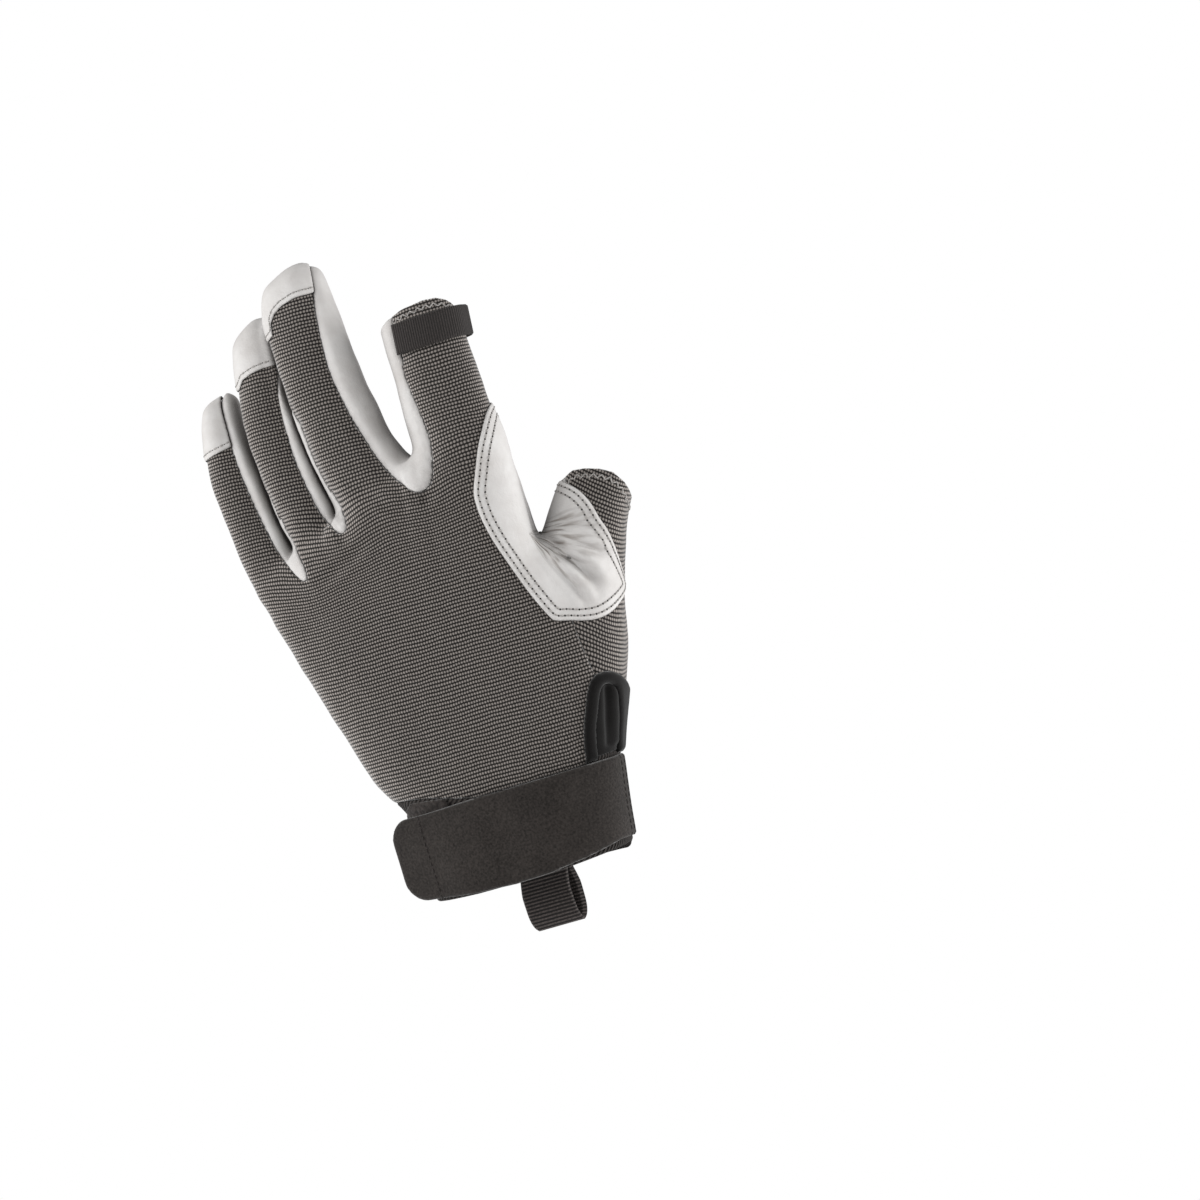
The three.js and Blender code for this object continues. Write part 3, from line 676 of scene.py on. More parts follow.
# Level sections of the fingers: height, middle and half-width as seen, depth of the middle, half-depth
INDEX_ROWS = (
    (100, 14, 14, -0.5, 10), (120, 17.5, 17, -1, 13.5), (135, 20, 16.8, -1, 12.5),
    (146, 21, 16.2, -0.7, 11.8),
    (157, 21.2, 16.2, 0, 11.3), (167, 20.7, 16.1, 0.8, 10.9), (177, 20.4, 15.9, 1.8, 10.6),
    (186, 20.3, 15.5, 3, 10.4), (195, 20.3, 15.2, 4.6, 10.2), (203, 20.3, 14.9, 6.2, 10),
    (209, 20.3, 14.7, 7.4, 9.8), (216, 20.2, 14.4, 9, 9.6), (226, 20.2, 14.2, 11, 9.5),
)
MIDDLE_ROWS = (
    (110, -9, 13, -1, 10), (130, -12.5, 14.5, -1, 12.5), (143, -13.2, 15.2, -0.7, 12),
    (150, -13.7, 15.5, 0, 11.6),
    (160, -14.8, 16.5, 1, 11.2), (170, -17.6, 15.4, 2.2, 10.8), (181, -19.1, 15.2, 3.7, 10.5),
    (191, -20.3, 14.7, 5.3, 10.3), (200, -20.9, 14.5, 7, 10.2), (213, -21.7, 14.2, 9.7, 9.9),
    (222.7, -22.1, 13.8, 12, 9.5), (228, -21.85, 13.15, 13.4, 9), (232, -21.4, 12.3, 14.4, 8.3),
    (235.4, -20.7, 11, 15.2, 7.3), (238, -19, 8.2, 15.8, 5.9), (240.4, -17.4, 4.6, 16.2, 3.6),
    (241.3, -16, 1.8, 16.4, 1.3),
)
RING_ROWS = (
    (105, -32, 9, 0, 9), (125, -37, 10.5, 1, 12), (139, -39.6, 8.9, 2, 10.6), (145, -39.8, 10, 2.6, 10.2),
    (152, -40.2, 11.1, 3.4, 9.9), (162, -41.2, 11.3, 5, 9.6), (173, -42.2, 11.2, 7.2, 9.4),
    (184, -42.7, 11.3, 9.6, 9.3), (195, -42.5, 11.4, 12.4, 9.2), (203, -41.8, 11, 15, 9),
    (211, -40.9, 10.5, 18, 8.7), (217.7, -39.8, 10.2, 20.6, 8.2), (221, -38.9, 9.5, 22, 7.5),
    (224, -37.4, 7.6, 23.3, 6.3), (226.6, -35.8, 4.9, 24.4, 4.4), (227.7, -35.5, 2, 24.9, 1.8),
)
LITTLE_ROWS = (
    (98, -48, 8, 0.5, 9), (113, -53, 9.5, 1.5, 11.5), (120, -54.5, 9.6, 2.2, 11), (127, -57, 9.3, 3, 10.6),
    (133, -57.7, 10.1, 3.7, 10.3), (139, -58.5, 10.4, 4.6, 10), (146, -59.6, 10.4, 5.7, 9.7),
    (153, -60.7, 10.2, 7, 9.4), (160, -61.6, 10.1, 8.6, 9.1), (170, -62.5, 10, 11.2, 8.8),
    (177, -62.8, 9.7, 13.2, 8.6), (184, -62.7, 9, 15.2, 8.3), (193, -62, 8, 18, 7.8),
    (199, -61.1, 7.1, 20, 7),
    (202, -60, 5.5, 21.2, 5.8), (204.3, -59, 2.8, 22, 3.6), (205.2, -58.5, 1, 22.4, 1.4),
)
# Square sections of the thumb: middle, half-width, half-depth
THUMB_ROWS = (
    (26.8, 0.7, 39, 13.7, 10.9), (34.1, 2.2, 60, 18.2, 15.7), (40.6, 4.8, 76, 18.4, 16),
    (44.6, 9.2, 93, 17.5, 15.2), (51.1, 14.1, 108.7, 15.2, 13.8), (56.4, 18.3, 120.5, 13.7, 12.6),
    (62.1, 22, 131, 12.9, 12), (67.9, 25.8, 142, 12.4, 11.6),
)
# Square sections of the web between thumb and hand
WEB_ROWS = ((24, -1, 93, 15, 9), (33, 1.5, 98, 14, 9), (41, 5, 100.5, 12.5, 9), (49, 10, 102, 12, 9))
# Tilted sections of the hand: height, x of the middle, tilt, half-width, half-depth
HAND_ROWS = (
    (-9.8, 1.4, 0, 37.0, 19.9), (16.8, 2.6, 0, 39.1, 20.1), (33.5, 3.6, 0, 40.5, 20.5),
    (47.5, 1.5, 1, 46.4, 19.4),
    (64.2, 0, 3, 50, 19.4), (85.2, -5.2, 6, 50.5, 18.9), (104.7, -10.3, 12, 50.5, 18),
    (122.8, -13, 18, 51, 16.7),
    (139.6, -14.5, 21, 52.5, 15.3), (145.9, -17, 21, 51.5, 12.6), (149.4, -18.3, 21, 49.4, 8.1),
)
FINGERS = ("little", "ring", "middle", "index")
# Bottoms of the gaps between the digits: x and height
CROTCHES = ((-70.0, 134.0), (-50.0, 138.0), (-31.0, 151.0), (2.0, 159.2), (30.0, 150.0), (40.0, 116.0),
            (90.0, 60.0))
# Tops of the two open digits in the view
INDEX_RIM = ((3.0, 207.0), (6.7, 209.0), (9.4, 210.7), (13.9, 211.8), (22.8, 212.7), (28.3, 212.4),
             (32.4, 211.0),
             (34.6, 209.2), (38.0, 206.0))
THUMB_RIM = ((50.0, 134.0), (54.4, 136.6), (57.2, 138.0), (61.7, 137.3), (67.2, 135.4), (71.7, 132.7),
             (75.0, 128.0),
             (76.0, 125.0), (76.6, 118.0))


@dataclass
class Crease:
    """A fold pressed into the form along a line."""

    side: Side
    line: Line
    width: float = 2.6
    depth: float = 0.9


@dataclass
class HandForm:
    """The outside of the whole glove above the wrist mouth, with what every panel is cut from."""

    blend_hand: float = 9.0
    blend_thumb: float = 13.0
    finger_gap: float = 1.6
    blend_fingers: float = 7.0
    blend_web: float = 8.0
    thumb_free: tuple[float, float] = (113.5, 123.5)  # heights between which the thumb comes off the hand
    web_fall: float = 15.0  # how far the webs fall to the back and to the palm
    web_depth: float = 9.0
    seam_depth: float = 1.3  # how far the seams along the fingers sink in
    limbs: dict[str, Limb] = field(default_factory=dict)
    surface: Surface | None = None

    def build(self) -> "HandForm":
        """Joins the limbs into one smooth skin.

        Returns:
            The form itself.
        """
        self.limbs = {
            "hand": Limb.broad(HAND_ROWS),
            "index": Limb.upright(INDEX_ROWS),
            "middle": Limb.upright(MIDDLE_ROWS),
            "ring": Limb.upright(RING_ROWS),
            "little": Limb.upright(LITTLE_ROWS),
            "thumb": Limb.leaning(THUMB_ROWS),
        }
        low, high = np.array(GRID_LOW), np.array(GRID_HIGH)
        shape = tuple(np.ceil((high - low) / VOXEL).astype(int))
        start = tuple(np.round(low / VOXEL).astype(int))
        fields = {name: self._distance(limb, shape, start) for name, limb in self.limbs.items()}
        fields["web"] = self._distance(Limb.leaning(WEB_ROWS), shape, start)
        grid = np.meshgrid(*(VOXEL * (np.arange(n) + s) for n, s in zip(shape, start)), indexing="ij")
        x, y, z = (g.astype(np.float32) for g in grid)
        vdb = openvdb.FloatGrid(9.0)
        vdb.transform = openvdb.createLinearTransform(voxelSize=VOXEL)
        vdb.copyFromArray(np.ascontiguousarray(self._joined(fields, x, y, z)), ijk=start)
        points, quads = vdb.convertToQuads(isovalue=0.0)
        quads = quads.astype(int)
        faces = np.vstack([quads[:, [0, 1, 2]], quads[:, [0, 2, 3]]])
        self.surface = Surface(points.astype(float), faces).largest().facing_out().smoothed(8)
        points = self.surface.points
        self._measure({name: self._sampled(fields[name], start, points) for name in self.limbs})
        LOG.info("hand form: %d points", len(points))
        return self

    @staticmethod
    def _distance(limb: Limb, shape: tuple[int, ...], start: tuple[int, ...]) -> Array:
        """Signed distance to a limb on the common grid.

        Args:
            limb: The limb.
            shape: Size of the grid.
            start: Number of its first cell.

        Returns:
            The distances in mm.
        """
        solid = limb.solid()
        vdb = openvdb.FloatGrid.createLevelSetFromPolygons(
            solid.points.astype(np.float32), triangles=solid.faces.astype(np.uint32),
            transform=openvdb.createLinearTransform(voxelSize=VOXEL), halfWidth=GRID_REACH)
        out = np.zeros(shape, np.float32)
        vdb.copyToArray(out, ijk=start)
        return out

    def _joined(self, fields: dict[str, Array], x: Array, y: Array, z: Array) -> Array:
        """One signed distance for all limbs, with webs between them.

        Args:
            fields: Signed distance of each limb.
            x: Grid of x.
            y: Grid of depths.
            z: Grid of heights.

        Returns:
            The joined distances.
        """
        crotch = np.interp(x, *zip(*CROTCHES)).astype(np.float32)
        crotch -= self.web_fall * (np.abs(y - self.web_depth) / 20.0) ** 0.6
        free = smoothstep(-2.5, 3.0, z - crotch)
        total = fields[FINGERS[0]]
        for name in FINGERS[1:]:
            one = fields[name]
            joined = _soft_min(total, one, self.blend_fingers)
            apart = np.maximum(np.minimum(total, one), 0.5 * (self.finger_gap - np.abs(total - one)))
            total = joined * (1 - free) + apart * free
        body = _soft_min(total, fields["hand"], self.blend_hand)
        thumb = fields["thumb"]
        joined = _soft_min(_soft_min(body, thumb, self.blend_thumb), fields["web"], self.blend_web)
        apart = np.maximum(np.minimum(body, thumb), 0.5 * self.finger_gap - np.maximum(body, thumb))
        above = smoothstep(*self.thumb_free, z)
        return (joined * (1 - above) + apart * above).astype(np.float32)

    @staticmethod
    def _sampled(grid: Array, start: tuple[int, ...], points: Array) -> Array:
        """Reads a grid at points.

        Args:
            grid: Values on the common grid.
            start: Number of its first cell.
            points: Points in mm.

        Returns:
            One value for each point.
        """
        at = points / VOXEL - np.array(start)
        low = np.clip(np.floor(at).astype(int), 0, np.array(grid.shape) - 2)
        t = at - low
        total = np.zeros(len(points))
        for i in (0, 1):
            for j in (0, 1):
                for k in (0, 1):
                    weight = abs(1 - i - t[:, 0]) * abs(1 - j - t[:, 1]) * abs(1 - k - t[:, 2])
                    total += weight * grid[low[:, 0] + i, low[:, 1] + j, low[:, 2] + k]
        return total

    def _measure(self, near: dict[str, Array]) -> None:
        """Gives each point its place in the view, its share in each digit and its place round that digit.

        Args:
            near: Signed distance of each limb at the points.
        """
        form, values = self.surface, self.surface.values
        p = form.points
        values["x"], values["y"], values["z"] = p[:, 0].copy(), p[:, 1].copy(), p[:, 2].copy()
        values["view"] = p[:, 0] * math.cos(VIEW_YAW) + p[:, 1] * math.sin(VIEW_YAW)
        normal = form.normals()
        values["facing"] = normal[:, 0] * math.sin(VIEW_YAW) - normal[:, 1] * math.cos(VIEW_YAW)
        names = list(self.limbs)
        digits = np.sort(np.stack([near[name] for name in names if name in FINGERS], axis=1), axis=1)
        values["clear"] = digits[:, 1] - digits[:, 0]
        depth = np.stack([near[name] for name in names], axis=1)
        values["limb"] = np.argmin(depth, axis=1).astype(float)
        share = np.exp(-(depth - depth.min(axis=1, keepdims=True)) / 0.5)
        share /= share.sum(axis=1, keepdims=True)
        for i, name in enumerate(names):
            values[f"in_{name}"] = form.spread(share[:, i], 2)
        for name in names:
            angle, size = self.limbs[name].place_of(p)
            values[f"turn_{name}"], values[f"size_{name}"] = angle, size

    def centre(self, name: str, axis: int) -> Array:
        """Middle of a limb at the height of each point: x for axis 0, depth for axis 1."""
        limb = self.limbs[name]
        return np.interp(self.surface.values["z"], limb.centres[:, 2], limb.centres[:, axis])

    def mostly(self, name: str) -> Array:
        """Whether a limb is the nearest one to each point."""
        return self.surface.values["limb"] == list(self.limbs).index(name)

    def at_height(self, table: Line) -> Array:
        """What a table by height gives at the height of each point."""
        return np.interp(self.surface.values["z"], *zip(*table))

    def press(self, creases: Sequence[Crease], cloth: Array, palm: Array) -> None:
        """Presses the folds and the seams of the fingers in and makes the cloth uneven.

        Args:
            creases: The folds.
            cloth: Signed distance inside the woven back.
            palm: Signed distance inside the leather palm.
        """
        form = self.surface
        normal = form.normals()
        values = form.values
        back = smoothstep(-0.45, -0.05, values["facing"])
        shift = np.zeros(len(form.points))
        for crease in creases:
            across = values["view"] if crease.side == Side.BACK else values["x"]
            plane = np.column_stack([across, values["z"]])
            line = rounded(crease.line, 2, closed=False)
            distance = np.abs(line_side(plane, line))
            q = distance / crease.width
            share = back if crease.side == Side.BACK else 1 - back
            ends = _end_fade(plane, line, 0.5 * crease.width)
            profile = 0.75 * np.exp(-((q - 1.25) ** 2) / 0.35) - np.exp(-(q**2))
            shift += crease.depth * share * ends * profile
        finger = smoothstep(120, 146, values["z"] + 0.45 * values["x"] + 14)
        finger = finger * smoothstep(43, 35, values["x"])
        for inside, deep in ((cloth, self.seam_depth), (palm, 0.6 * self.seam_depth)):
            wide = np.where(inside > 0, 4.2, 2.2)
            shift -= deep * finger * np.exp(-((inside / wide) ** 2))
        shift += 0.22 * noise3(form.points, 1.9, 1.7) * finger * np.exp(-((cloth / 2.6) ** 2)) * (cloth < 0)
        tight = smoothstep(6.0, 1.8, values["clear"]) * finger
        bare = smoothstep(0.0, -8.0, values["z"] - np.interp(values["x"], *zip(*CAPS_FROM)))
        shift = shift * (1 - 0.85 * tight) + 0.4 * tight * bare
        uneven = 0.45 * noise3(form.points, 17.0, 3.1) + 0.16 * noise3(form.points, 6.0, 9.7)
        form.points = form.points + normal * (shift + uneven * smoothstep(20, 45, values["z"]))[:, None]


def _end_fade(plane: Array, line: Line, reach: float) -> Array:
    """Fades a fold out towards both ends of its line.

    Args:
        plane: Points in the plane of the line.
        line: The line.
        reach: Length of the fade in mm.

    Returns:
        Shares from 0 to 1.
    """
    ends = np.array([line[0], line[-1]], float)
    length = np.linalg.norm(ends[1] - ends[0])
    along = (plane - ends[0]) @ (ends[1] - ends[0]) / max(length, 1e-6)
    edge = np.minimum(along, length - along)
    return smoothstep(-reach, min(length * 0.4, 4 * reach), edge)


def _soft_min(a: Array, b: Array, width: float) -> Array:
    """The smaller of two distances with a fillet where they are close.

    Args:
        a: First distances.
        b: Second distances.
        width: Width of the fillet in mm.

    Returns:
        The joined distances.
    """
    near = np.maximum(width - np.abs(a - b), 0.0) / width
    return np.minimum(a, b) - near * near * near * width / 6.0


# Lines of the panels

# Edges of the woven back in the view: down the thumb side of a finger, up the side to the little finger
CLOTH_DOWN = {
    "little": ((-62, 215), (-60.2, 206), (-61.4, 201.6), (-61.4, 194), (-61.2, 184), (-60.6, 175),
               (-59.4, 166),
               (-57.8, 156), (-55.6, 144), (-52.8, 135), (-50, 129), (-47.8, 127), (-46.3, 129)),
    "ring": ((-35.4, 236), (-35.6, 222), (-36, 207), (-37.2, 201.6), (-38.9, 195), (-39.4, 184),
             (-39.2, 173),
             (-37.8, 162), (-35.6, 152), (-33.3, 145), (-31, 141), (-30, 140.4), (-28.3, 141.6)),
    "middle": ((-13, 250), (-13.3, 241), (-13.7, 235), (-14.4, 229), (-16, 219), (-17, 208), (-17.2, 198),
               (-15.6, 188), (-13.9, 179), (-11, 170), (-9.4, 164), (-7.2, 158), (-3.9, 151.6), (-0.6, 147),
               (2.8, 145.4)),
}
CLOTH_UP = {
    "ring": ((-47.2, 136), (-49.8, 145), (-51.6, 155), (-52.8, 170), (-53.2, 185), (-52.9, 198),
             (-52.2, 203),
             (-44, 236)),
    "middle": ((-27.6, 145), (-28.9, 150), (-30.4, 158), (-31.8, 165), (-33.3, 175), (-34.3, 190),
               (-33.5, 220),
               (-28, 250)),
    "index": ((5.6, 146.6), (7.8, 149.3), (8.9, 153), (10.3, 162), (10.3, 170), (8.9, 179), (7.8, 190),
              (9.7, 196),
              (9.7, 225), (100, 225)),
}
# Seam between the woven back and the thumb cloth, and the palm seam of the thumb cloth, bottom to top
THUMB_SEAM_BACK = ((44, -30), (44, 63), (43.3, 69), (42.2, 77), (41.7, 85), (41, 95), (41.5, 105), (45, 116),
                   (50.5, 126), (53.6, 131), (54.6, 150))
THUMB_SEAM_PALM = ((3, -30), (8, 30), (14, 40), (20.4, 48), (29, 56), (37, 65), (42.4, 73), (48, 86),
                   (55.6, 109),
                   (63.9, 133), (74, 167))
# Side seams: height and depth at which the back ends
LITTLE_SIDE = ((0, 0), (80, 0), (105, 1), (120, 2.6), (135, 4.6), (150, 6.8), (170, 11.6), (190, 17),
               (206, 22.5))
INDEX_SIDE = ((0, 0), (100, 0), (150, 2.6), (162, 4.6), (175, 6.4), (190, 8.4), (203, 10.6), (230, 15.5))
# Hems over the cuff, in the view on the back and across the palm, and the lower edge of the cuff on the back
BACK_HEM = ((-90, 40), (-41, 40), (-36, 40), (-28, 39), (-17, 36), (-10, 34.5), (90, 34.5))
CUFF_FOOT = ((-45, 1.6), (-20, 0.7), (10, 0.7), (42, 2.6))
PALM_HEM = ((-82, 33), (0, 32), (26, 31), (82, 32.4))
# Lower and upper edge of the closing strap: distance from its free end and height
STRAP_BOTTOM = ((0, 4.6), (4, 4.0), (12, 3.0), (28, 1.3), (44, 0.8), (60, 1.3), (75, 2.8), (90, 5.0))
STRAP_TOP = ((0, 33.4), (6, 33.9), (30, 34.4), (60, 34.6), (90, 34.4))
# Bound slit beside the thumb: middle line of its binding in the view
VENT_LINE = ((33.3, 33), (34.6, 40), (36.4, 47), (39.4, 54), (41.4, 59), (44, 62.2), (48, 62.5), (51, 60),
             (51.4, 56),
             (49.6, 48), (46.8, 40), (45, 33))
# Patch over the crotch of the thumb, in the view on the back and across the palm
PATCH_BACK = (
    (44, 176), (36.7, 170), (33.3, 166), (30, 160), (27.2, 155), (23.9, 147), (21, 140), (20.6, 136),
    (20.8, 130),
    (22.5, 121), (25.6, 111), (28.9, 101), (31.7, 94), (34.4, 88), (36, 86.7), (40.6, 85.6), (45, 84),
    (50.6, 83),
    (56, 84), (60, 86.7), (62.8, 90.6), (63.9, 97), (64, 105), (63.3, 113), (61.7, 118), (60.6, 124),
    (57.8, 130),
    (54.4, 133.5), (48, 140), (46, 160),
)
PATCH_PALM = (
    (56, 180), (44, 171), (36, 163), (29, 157), (22.4, 153), (20, 145), (17.8, 136), (15, 125),
    (10.4, 113), (6.8, 104),
    (13, 101), (21.2, 99), (30, 95.5), (41, 100.5), (48, 110), (52, 119), (54.6, 131), (50, 139), (52, 150),
)
# Where the rows of the cloth dip under the gaps between the fingers: place in the view and how far, in mm
WEB_PULLS = ((-46.5, 125, 3.6), (-29.5, 138, 4.2), (3, 143, 2.6))
# How far behind the middle of two fingers their cloth ends on the little finger's side: height and depth
CLOTH_DEPTH = {"middle": ((184, -5), (202, 2)), "ring": ((158, -3.5), (176, 2))}
# Where the leather front of each finger begins and ends, in degrees from the thumb side over the back
FRONTS = (("index", 222, 400), ("middle", 227, 315), ("ring", 227, 315), ("little", 150, 315))
# Where the closed tips' caps begin between the fingers: x and height
CAPS_FROM = ((-60, 178), (-45, 178), (-35, 200), (-20, 200))
# Lower edges of the leather caps on the closed tips, in the view
CAP_EDGES = {
    "little": ((-95, 176), (-71.9, 181.6), (-61.1, 184.3), (-55, 186)),
    "ring": ((-58, 202), (-51.7, 203), (-49.4, 206), (-45, 207.3), (-40.6, 208), (-36, 207.7), (-30, 207.4)),
    "middle": ((-40, 214), (-33.3, 217.7), (-32.8, 222), (-30.6, 225), (-27.2, 227), (-21.7, 228.4),
               (-14.4, 228.8),
               (-8, 229)),
}

CREASES = (
    Crease(Side.BACK, ((39.5, 116), (45, 110), (50.4, 102.7), (55, 92)), 3.2, 1.6),
    Crease(Side.BACK, ((41, 115), (49, 112), (57, 107), (61, 104)), 2.3, 0.7),
    Crease(Side.BACK, ((46, 121), (55, 118.5), (59, 116)), 2.3, 0.5),
    Crease(Side.BACK, ((38.5, 112), (43, 104), (47, 95), (49, 88)), 2.4, 0.6),
    Crease(Side.BACK, ((-14, 146), (-9, 143), (0, 141.5), (8, 143)), 2.6, 0.7),
    Crease(Side.BACK, ((-45, 125), (-38, 126), (-28, 131), (-20, 134)), 2.8, 0.6),
    Crease(Side.PALM, ((28, 94), (22, 86), (15, 79), (9, 70)), 3.4, 0.7),
    Crease(Side.PALM, ((24, 96), (14, 91), (4, 88), (-5, 87)), 3.6, 0.6),
    Crease(Side.PALM, ((30, 90), (27, 80), (24.5, 70), (22, 62)), 3.2, 0.5),
    Crease(Side.PALM, ((-58, 138), (-45, 140.5), (-25, 144), (-5, 148), (12, 149)), 3.6, 0.7),
    Crease(Side.PALM, ((-36, 112), (-22, 117), (-6, 118), (8, 114)), 4.2, 0.45),
)


# Pieces


@dataclass
class Sewing:
    """Sizes that the sewn sheets share, in mm."""

    wall: float = 1.4
    seam_gap: float = 0.06
    roll: float = 1.5  # how far in from an edge a sheet turns down
    stitch_pitch: float = 2.3
    stitch_length: float = 1.5
    thread: float = 0.3

    def sheet(self, base: Surface, inside: Array, lift: float = 0.0, wall: float | None = None,
              roll: float | None = None, single: bool = True) -> Surface:
        """Cuts a panel out of a surface and turns its edges down.

        Args:
            base: Surface to cut from.
            inside: Signed distance inside the panel's outline.
            lift: How far the panel stands off the surface.
            wall: Thickness, or the shared one.
            roll: Reach of the turned edge, or the shared one.
            single: Whether only the largest part is kept, or every part but the crumbs.

        Returns:
            The open panel, whose value "edge" is the distance to its edges.
        """
        wall = self.wall if wall is None else wall
        roll = self.roll if roll is None else roll
        panel = base.clipped(inside - 0.5 * self.seam_gap).largest(0 if single else 300)
        edge = panel.edge_distance()
        panel.values["edge"] = edge
        down = 1 - np.sqrt(np.clip(1 - (1 - np.clip(edge / roll, 0, 1)) ** 2, 0, 1))
        panel.values["down"] = down
        panel.points = panel.points + panel.normals() * (lift - 0.5 * wall * down)[:, None]
        return panel

    def closed(self, panel: Surface, wall: float | None = None) -> Surface:
        """Gives a panel its thickness, thinner where its edge turns down.

        Args:
            panel: Open panel from sheet().
            wall: Thickness, or the shared one.

        Returns:
            The closed panel.
        """
        wall = self.wall if wall is None else wall
        down = panel.values.get("down", np.zeros(len(panel.points)))
        return panel.thickened(wall * (1.02 - 0.98 * down))

    def stitches(self, name: str, lines: Sequence[Array], finish: Material, slot: str, node: str,
                 shift: float = 0.0) -> None:
        """Lays thread along lines on a panel, one short raised stitch after another.

        Args:
            name: Name of the piece.
            lines: Lines with normals, shape (n, 6).
            finish: Material of the thread.
            slot: Slot of the record.
            node: CAD node that it helps to replace.
            shift: How far the thread's middle lies above the line.
        """
        parts = []
        for line in lines:
            length = walked(line[:, :3])
            count = int(length[-1] / self.stitch_pitch)
            if count < 2:
                continue
            middle = (np.arange(count) + 0.5) * (length[-1] / count)
            starts = read_at(middle - 0.5 * self.stitch_length, length, line)
            ends = read_at(middle + 0.5 * self.stitch_length, length, line)
            parts += [self._thread(a, b, shift) for a, b in zip(starts, ends)]
        place(merged(parts), name, finish, slot, node)

    def holes(self, name: str, lines: Sequence[Array], finish: Material, slot: str, node: str,
              size: float = 0.4) -> None:
        """Puts a small dark disc between each two stitches of the same lines: painted shade standing for a
        needle hole.

        Args:
            name: Name of the piece.
            lines: Lines with normals, shape (n, 6).
            finish: Material of the holes.
            slot: Slot of the record.
            node: CAD node that it helps to replace.
            size: Radius of a hole in mm.
        """
        turn = np.linspace(0, 2 * math.pi, 8, endpoint=False)
        parts = []
        for line in lines:
            length = walked(line[:, :3])
            count = int(length[-1] / self.stitch_pitch)
            if count < 2:
                continue
            for spot in read_at(np.arange(count + 1) * length[-1] / count, length, line):
                up = spot[3:] / np.linalg.norm(spot[3:])
                side = np.cross(up, ANY_WAY)
                side /= np.linalg.norm(side)
                flat = np.cos(turn)[:, None] * side + np.sin(turn)[:, None] * np.cross(up, side)
                steps = ((-0.25, size), (0.0, size), (0.12, 0.5 * size))
                rings = [spot[:3] + up * h + flat * r for h, r in steps]
                parts.append(skin(rings))
        place(merged(parts), name, finish, slot, node)

    def zigzag(self, name: str, lines: Sequence[Array], finish: Material, slot: str, node: str,
               width: float = 1.5, pitch: float = 1.5) -> None:
        """Lays thread to and fro across lines.

        Args:
            name: Name of the piece.
            lines: Lines with normals, shape (n, 6).
            finish: Material of the thread.
            slot: Slot of the record.
            node: CAD node that it helps to replace.
            width: Width of the seam in mm.
            pitch: Distance between two turns in mm.
        """
        parts = []
        for line in lines:
            length = walked(line[:, :3])
            count = int(length[-1] / pitch)
            if count < 3:
                continue
            spots = read_at(np.arange(count + 1) * length[-1] / count, length, line)
            across = np.cross(np.gradient(spots[:, :3], axis=0), spots[:, 3:])
            across /= np.linalg.norm(across, axis=1, keepdims=True)
            side = np.where(np.arange(count + 1) % 2, 0.5, -0.5)
            spots[:, :3] += across * (width * side)[:, None]
            parts += [self._thread(a, b, 0.12) for a, b in zip(spots[:-1], spots[1:])]
        place(merged(parts), name, finish, slot, node)

    def _thread(self, a: Array, b: Array, shift: float) -> Surface:
        """One stitch: a short round thread that dips into the cloth at both ends.

        Args:
            a: Start and normal.
            b: End and normal.
            shift: Height of the thread's middle.

        Returns:
            The closed thread.
        """
        up = a[3:] + b[3:]
        up /= np.linalg.norm(up)
        along = b[:3] - a[:3]
        size = max(np.linalg.norm(along), 1e-6)
        along /= size
        side = np.cross(along, up)
        turn = np.linspace(0, 2 * math.pi, 6, endpoint=False)
        rings = []
        for t, r, h in STITCH:
            middle = a[:3] + along * size * t + up * (shift + h * self.thread)
            flat = np.cos(turn)[:, None] * side + np.sin(turn)[:, None] * up
            rings.append(middle + self.thread * r * flat)
        return skin(rings)


